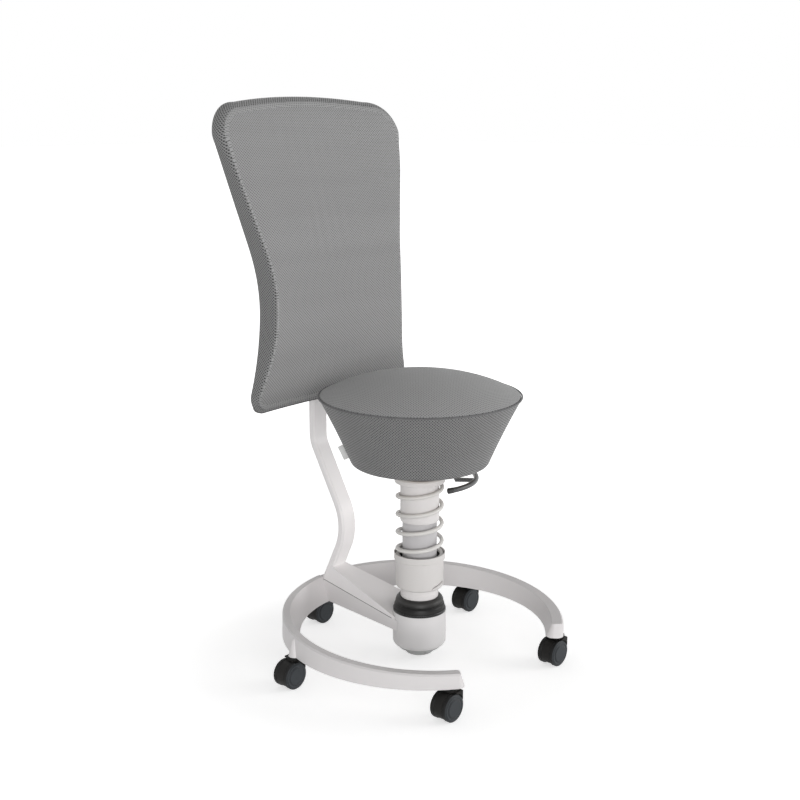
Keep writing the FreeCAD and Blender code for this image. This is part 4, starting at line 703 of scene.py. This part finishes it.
quarter = [math.radians(90 * step / 6) for step in range(7)]
rings = [rim_ring(turn=turn) for turn in quarter]
rings += [rim_ring(share=step / 6) for step in range(1, 6)]
rings += [rim_ring(from_rear=EDGE_ROUND * (1 - math.sin(turn)), inset=EDGE_ROUND * (1 - math.cos(turn)))
          for turn in quarter]
rings += [rim_ring(from_rear=0.0, inset=SHELL_INSET), rim_ring(from_rear=SHELL_DEEP, inset=SHELL_INSET)]
points = [spot for ring in rings for spot in ring]
faces, cloth_of = [], []
for row in range(len(rings) - 1):
    for k in range(RIM):
        beside = (k + 1) % RIM
        faces.append((row * RIM + k, (row + 1) * RIM + k, (row + 1) * RIM + beside, row * RIM + beside))
        cloth_of.append(2 if row < 2 else 1)


def panel(ring_start, depth_of, flip, cloth):
    """Fill a loop of the edge with a grid drawn evenly between its four sides."""
    loop = [points[ring_start + k] for k in range(RIM)]
    half = BACK_ACROSS // 2
    corner = [(-half) % RIM, half, half + BACK_UP, half + BACK_UP + BACK_ACROSS]
    index = {}
    for i in range(BACK_ACROSS + 1):
        for j in range(BACK_UP + 1):
            low, high = (corner[0] + i) % RIM, (corner[3] - i) % RIM
            left, right = (corner[0] - j) % RIM, (corner[1] + j) % RIM
            if j in (0, BACK_UP):
                index[i, j] = ring_start + (high if j else low)
                continue
            if i in (0, BACK_ACROSS):
                index[i, j] = ring_start + (right if i else left)
                continue
            u, v = i / BACK_ACROSS, j / BACK_UP
            spot = []
            for part in (0, 2):
                p00, p10, p11, p01 = [loop[c][part] for c in corner]
                spot.append((1 - v) * loop[low][part] + v * loop[high][part] + (1 - u) * loop[left][part]
                            + u * loop[right][part] - ((1 - u) * (1 - v) * p00 + u * (1 - v) * p10
                                                       + u * v * p11 + (1 - u) * v * p01))
            index[i, j] = len(points)
            points.append((spot[0], depth_of(spot[1]) + bowed(spot[0]), spot[1]))
    for i in range(BACK_ACROSS):
        for j in range(BACK_UP):
            cell = (index[i, j], index[i + 1, j], index[i + 1, j + 1], index[i, j + 1])
            faces.append(cell[::-1] if flip else cell)
            cloth_of.append(cloth)
    return index


front_index = panel(0, front_at, False, 0)
panel((len(rings) - 1) * RIM, lambda z: rear_at(z) - SHELL_DEEP, True, 1)
# The front knit's tone drifts in wide horizontal bands: painted shade of faint ripples across the front.
back_front_knit = open_knit("back_front_knit", (153, 153, 153), (99, 99, 99), 6.6, 5.6, 0.34, 0.0003, 0.85,
                            drift=0.11, bands=(1.2, 1.2, 20.0))
back_edge_knit = open_knit("back_edge_knit", (144, 144, 144), (46, 46, 46), 5.8, 6.8, 0.30, 0.0005, 0.8)
# The fold's knit is a little lighter and finer than the front's: a painted highlight.
back_fold_knit_painted_highlight = open_knit("back_fold_knit_painted_highlight", (158, 158, 158), (98, 98, 98), 5.0, 5.0, 0.34, 0.0004)
back = new_piece("back_cover", [Vector(spot) / 1000 for spot in points], faces,
                 [back_front_knit, back_edge_knit, back_fold_knit_painted_highlight])
back.data.polygons.foreach_set("material_index", cloth_of)
along_rim = [0.0]
for (x0, z0), (x1, z1) in zip(rim, rim[1:] + rim[:1]):
    along_rim.append(along_rim[-1] + math.hypot(x1 - x0, z1 - z0) / 1000)
weave = back.data.uv_layers.new(name="weave")
ring_faces = (len(rings) - 1) * RIM
for polygon in back.data.polygons:
    on_edge = polygon.index < ring_faces
    for loop in polygon.loop_indices:
        vertex = back.data.loops[loop].vertex_index
        spot = back.data.vertices[vertex].co
        if on_edge:
            k, row = vertex % RIM, vertex // RIM
            past = along_rim[RIM] if polygon.index % RIM == RIM - 1 and k == 0 else along_rim[k]
            weave.data[loop].uv = (past, spot.y)
        else:
            weave.data[loop].uv = (spot.x - 0.08 * spot.z, spot.z)

inner = {front_index[i, j] for i in range(1, BACK_ACROSS) for j in range(1, BACK_UP)}
settle(back, [v for v in range(len(points)) if v not in inner], 3.0, 0.005)
finer(back)
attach(back, "base")
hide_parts("back_pad")

# Castors: five twin wheels on steel stems, each with a hood between its wheels.
# Hood and tread are black nylon and soft tyre, the wheels' domed faces a bluish dark grey.
hood_plastic = moulded("hood_plastic", tint(30, 29, 28), 0.50, 900.0, 0.00008, Specular_IOR_Level=0.15)
castor_look = Finish("castor_wheel_plastic", tint(27, 27, 27), 0.46, Specular_IOR_Level=0.15)
facing = castor_look.node("SeparateXYZ", {0: castor_look.node("TexCoord", out="Normal")}, out="Y")
flat = castor_look.between(castor_look.calc("ABSOLUTE", facing), 0.0, 1.0, 0.75, 0.95)
scuffed = castor_look.between(castor_look.speckle(35.0, 4.0), 0.9, 1.1)
castor_look.shade("Base Color", castor_look.node("Mix", {
    "Factor": castor_look.calc("MULTIPLY", flat, scuffed), 6: tint(27, 27, 27), 7: tint(57, 60, 63)},
    out=2, data_type="RGBA"))
castor_look.shade("Roughness", castor_look.between(castor_look.speckle(24.0, 3.0), 0.38, 0.54))
softened = castor_look.node("Bevel", {"Radius": 0.0008}, samples=4)
castor_look.shade("Normal", castor_look.relief(castor_look.speckle(1000.0, 1.5), 0.00006, softened))
stem_steel = worked_steel("stem_steel", tint(172, 173, 175), 0.30)
for place in ("right_front", "left_front", "right_rear", "left_rear", "back"):
    castor = "castor_" + place
    dress(hood_plastic, castor + "_hood")
    dress(stem_steel, castor + "_stem", castor + "_axle")
    dress(castor_look.material, castor + "_wheel_left", castor + "_wheel_right")

# Studio: a pale floor, a white surround that gives more light from the horizon than from above,
# and two soft boxes, one near on the right and one far off behind the camera.
# The camera stands where the photograph was taken from.
floor_paint = Finish("floor_paint", (0.82, 0.82, 0.82, 1.0), 0.9)
ray = floor_paint.node("LightPath", out="Is Camera Ray").node
mirrored = floor_paint.calc("MAXIMUM", ray.outputs["Is Glossy Ray"], ray.outputs["Is Transmission Ray"])
seen = floor_paint.calc("MAXIMUM", ray.outputs["Is Camera Ray"], mirrored)
floor_paint.shader.inputs["Emission Color"].default_value = (1.0, 1.0, 1.0, 1.0)
# The floor glows for camera rays and reflections, less near the stool: painted shade round it, white further out.
away = floor_paint.node("VectorMath", {0: floor_paint.place()}, out="Value", operation="LENGTH")
glow_with_painted_shade = floor_paint.between(away, 0.56, 1.0, 0.25, 0.95, "SMOOTHSTEP")
floor_paint.shade("Emission Strength", floor_paint.calc("MULTIPLY", seen, glow_with_painted_shade))
FLOOR_SIDE = 30.0
floor = new_piece("studio_floor", [(-FLOOR_SIDE, -FLOOR_SIDE, 0), (FLOOR_SIDE, -FLOOR_SIDE, 0),
                                   (FLOOR_SIDE, FLOOR_SIDE, 0), (-FLOOR_SIDE, FLOOR_SIDE, 0)], [(0, 1, 2, 3)],
                  [floor_paint.material])

scene = bpy.context.scene
world = bpy.data.worlds.new("studio_surround")
world.use_nodes = True
scene.world = world
tree = world.node_tree
surround = tree.nodes["Background"]
ray = tree.nodes.new("ShaderNodeLightPath")
mixed = tree.nodes.new("ShaderNodeMixShader")
white = tree.nodes.new("ShaderNodeBackground")
white.inputs["Color"].default_value = (1.0, 1.0, 1.0, 1.0)
white.inputs["Strength"].default_value = 1.0
surround.inputs["Color"].default_value = (1.0, 1.0, 1.0, 1.0)
heading = tree.nodes.new("ShaderNodeTexCoord")
height = tree.nodes.new("ShaderNodeSeparateXYZ")
dimmer = tree.nodes.new("ShaderNodeMapRange")
for socket, amount in (("From Min", 0.0), ("From Max", 1.0), ("To Min", 0.93), ("To Max", 0.05)):
    dimmer.inputs[socket].default_value = amount
tree.links.new(heading.outputs["Generated"], height.inputs[0])
tree.links.new(height.outputs["Z"], dimmer.inputs["Value"])
tree.links.new(dimmer.outputs[0], surround.inputs["Strength"])
seen = tree.nodes.new("ShaderNodeMath")
seen.operation = "MAXIMUM"
tree.links.new(ray.outputs["Is Camera Ray"], seen.inputs[0])
tree.links.new(ray.outputs["Is Glossy Ray"], seen.inputs[1])
tree.links.new(seen.outputs[0], mixed.inputs[0])
tree.links.new(surround.outputs[0], mixed.inputs[1])
tree.links.new(white.outputs[0], mixed.inputs[2])
tree.links.new(mixed.outputs[0], tree.nodes["World Output"].inputs["Surface"])


def soft_box(name, place, aim, size, watts):
    lamp = bpy.data.lights.new(name, "AREA")
    lamp.shape = "RECTANGLE"
    lamp.size, lamp.size_y = size
    lamp.energy = watts
    box = bpy.data.objects.new(name, lamp)
    box.location = place
    box.rotation_euler = (Vector(aim) - Vector(place)).to_track_quat("-Z", "Y").to_euler()
    scene.collection.objects.link(box)


soft_box("key_box", (3.4, -3.2, 1.5), (0, 0, 0.4), (2.6, 1.8), 74.0)
soft_box("fill_box", (-5.4, -6.2, 1.4), (0, 0, 0.5), (4.8, 2.6), 300.0)

camera = bpy.data.objects.new("camera", bpy.data.cameras.new("camera"))
camera.data.lens, camera.data.sensor_width = 57.69, 36.0
camera.location = (-1.82325, -1.61841, 1.09127)
camera.rotation_euler = Vector((0.71852, 0.65876, -0.22308)).to_track_quat("-Z", "Y").to_euler()
scene.collection.objects.link(camera)
scene.camera = camera
scene.view_settings.view_transform = "Standard"
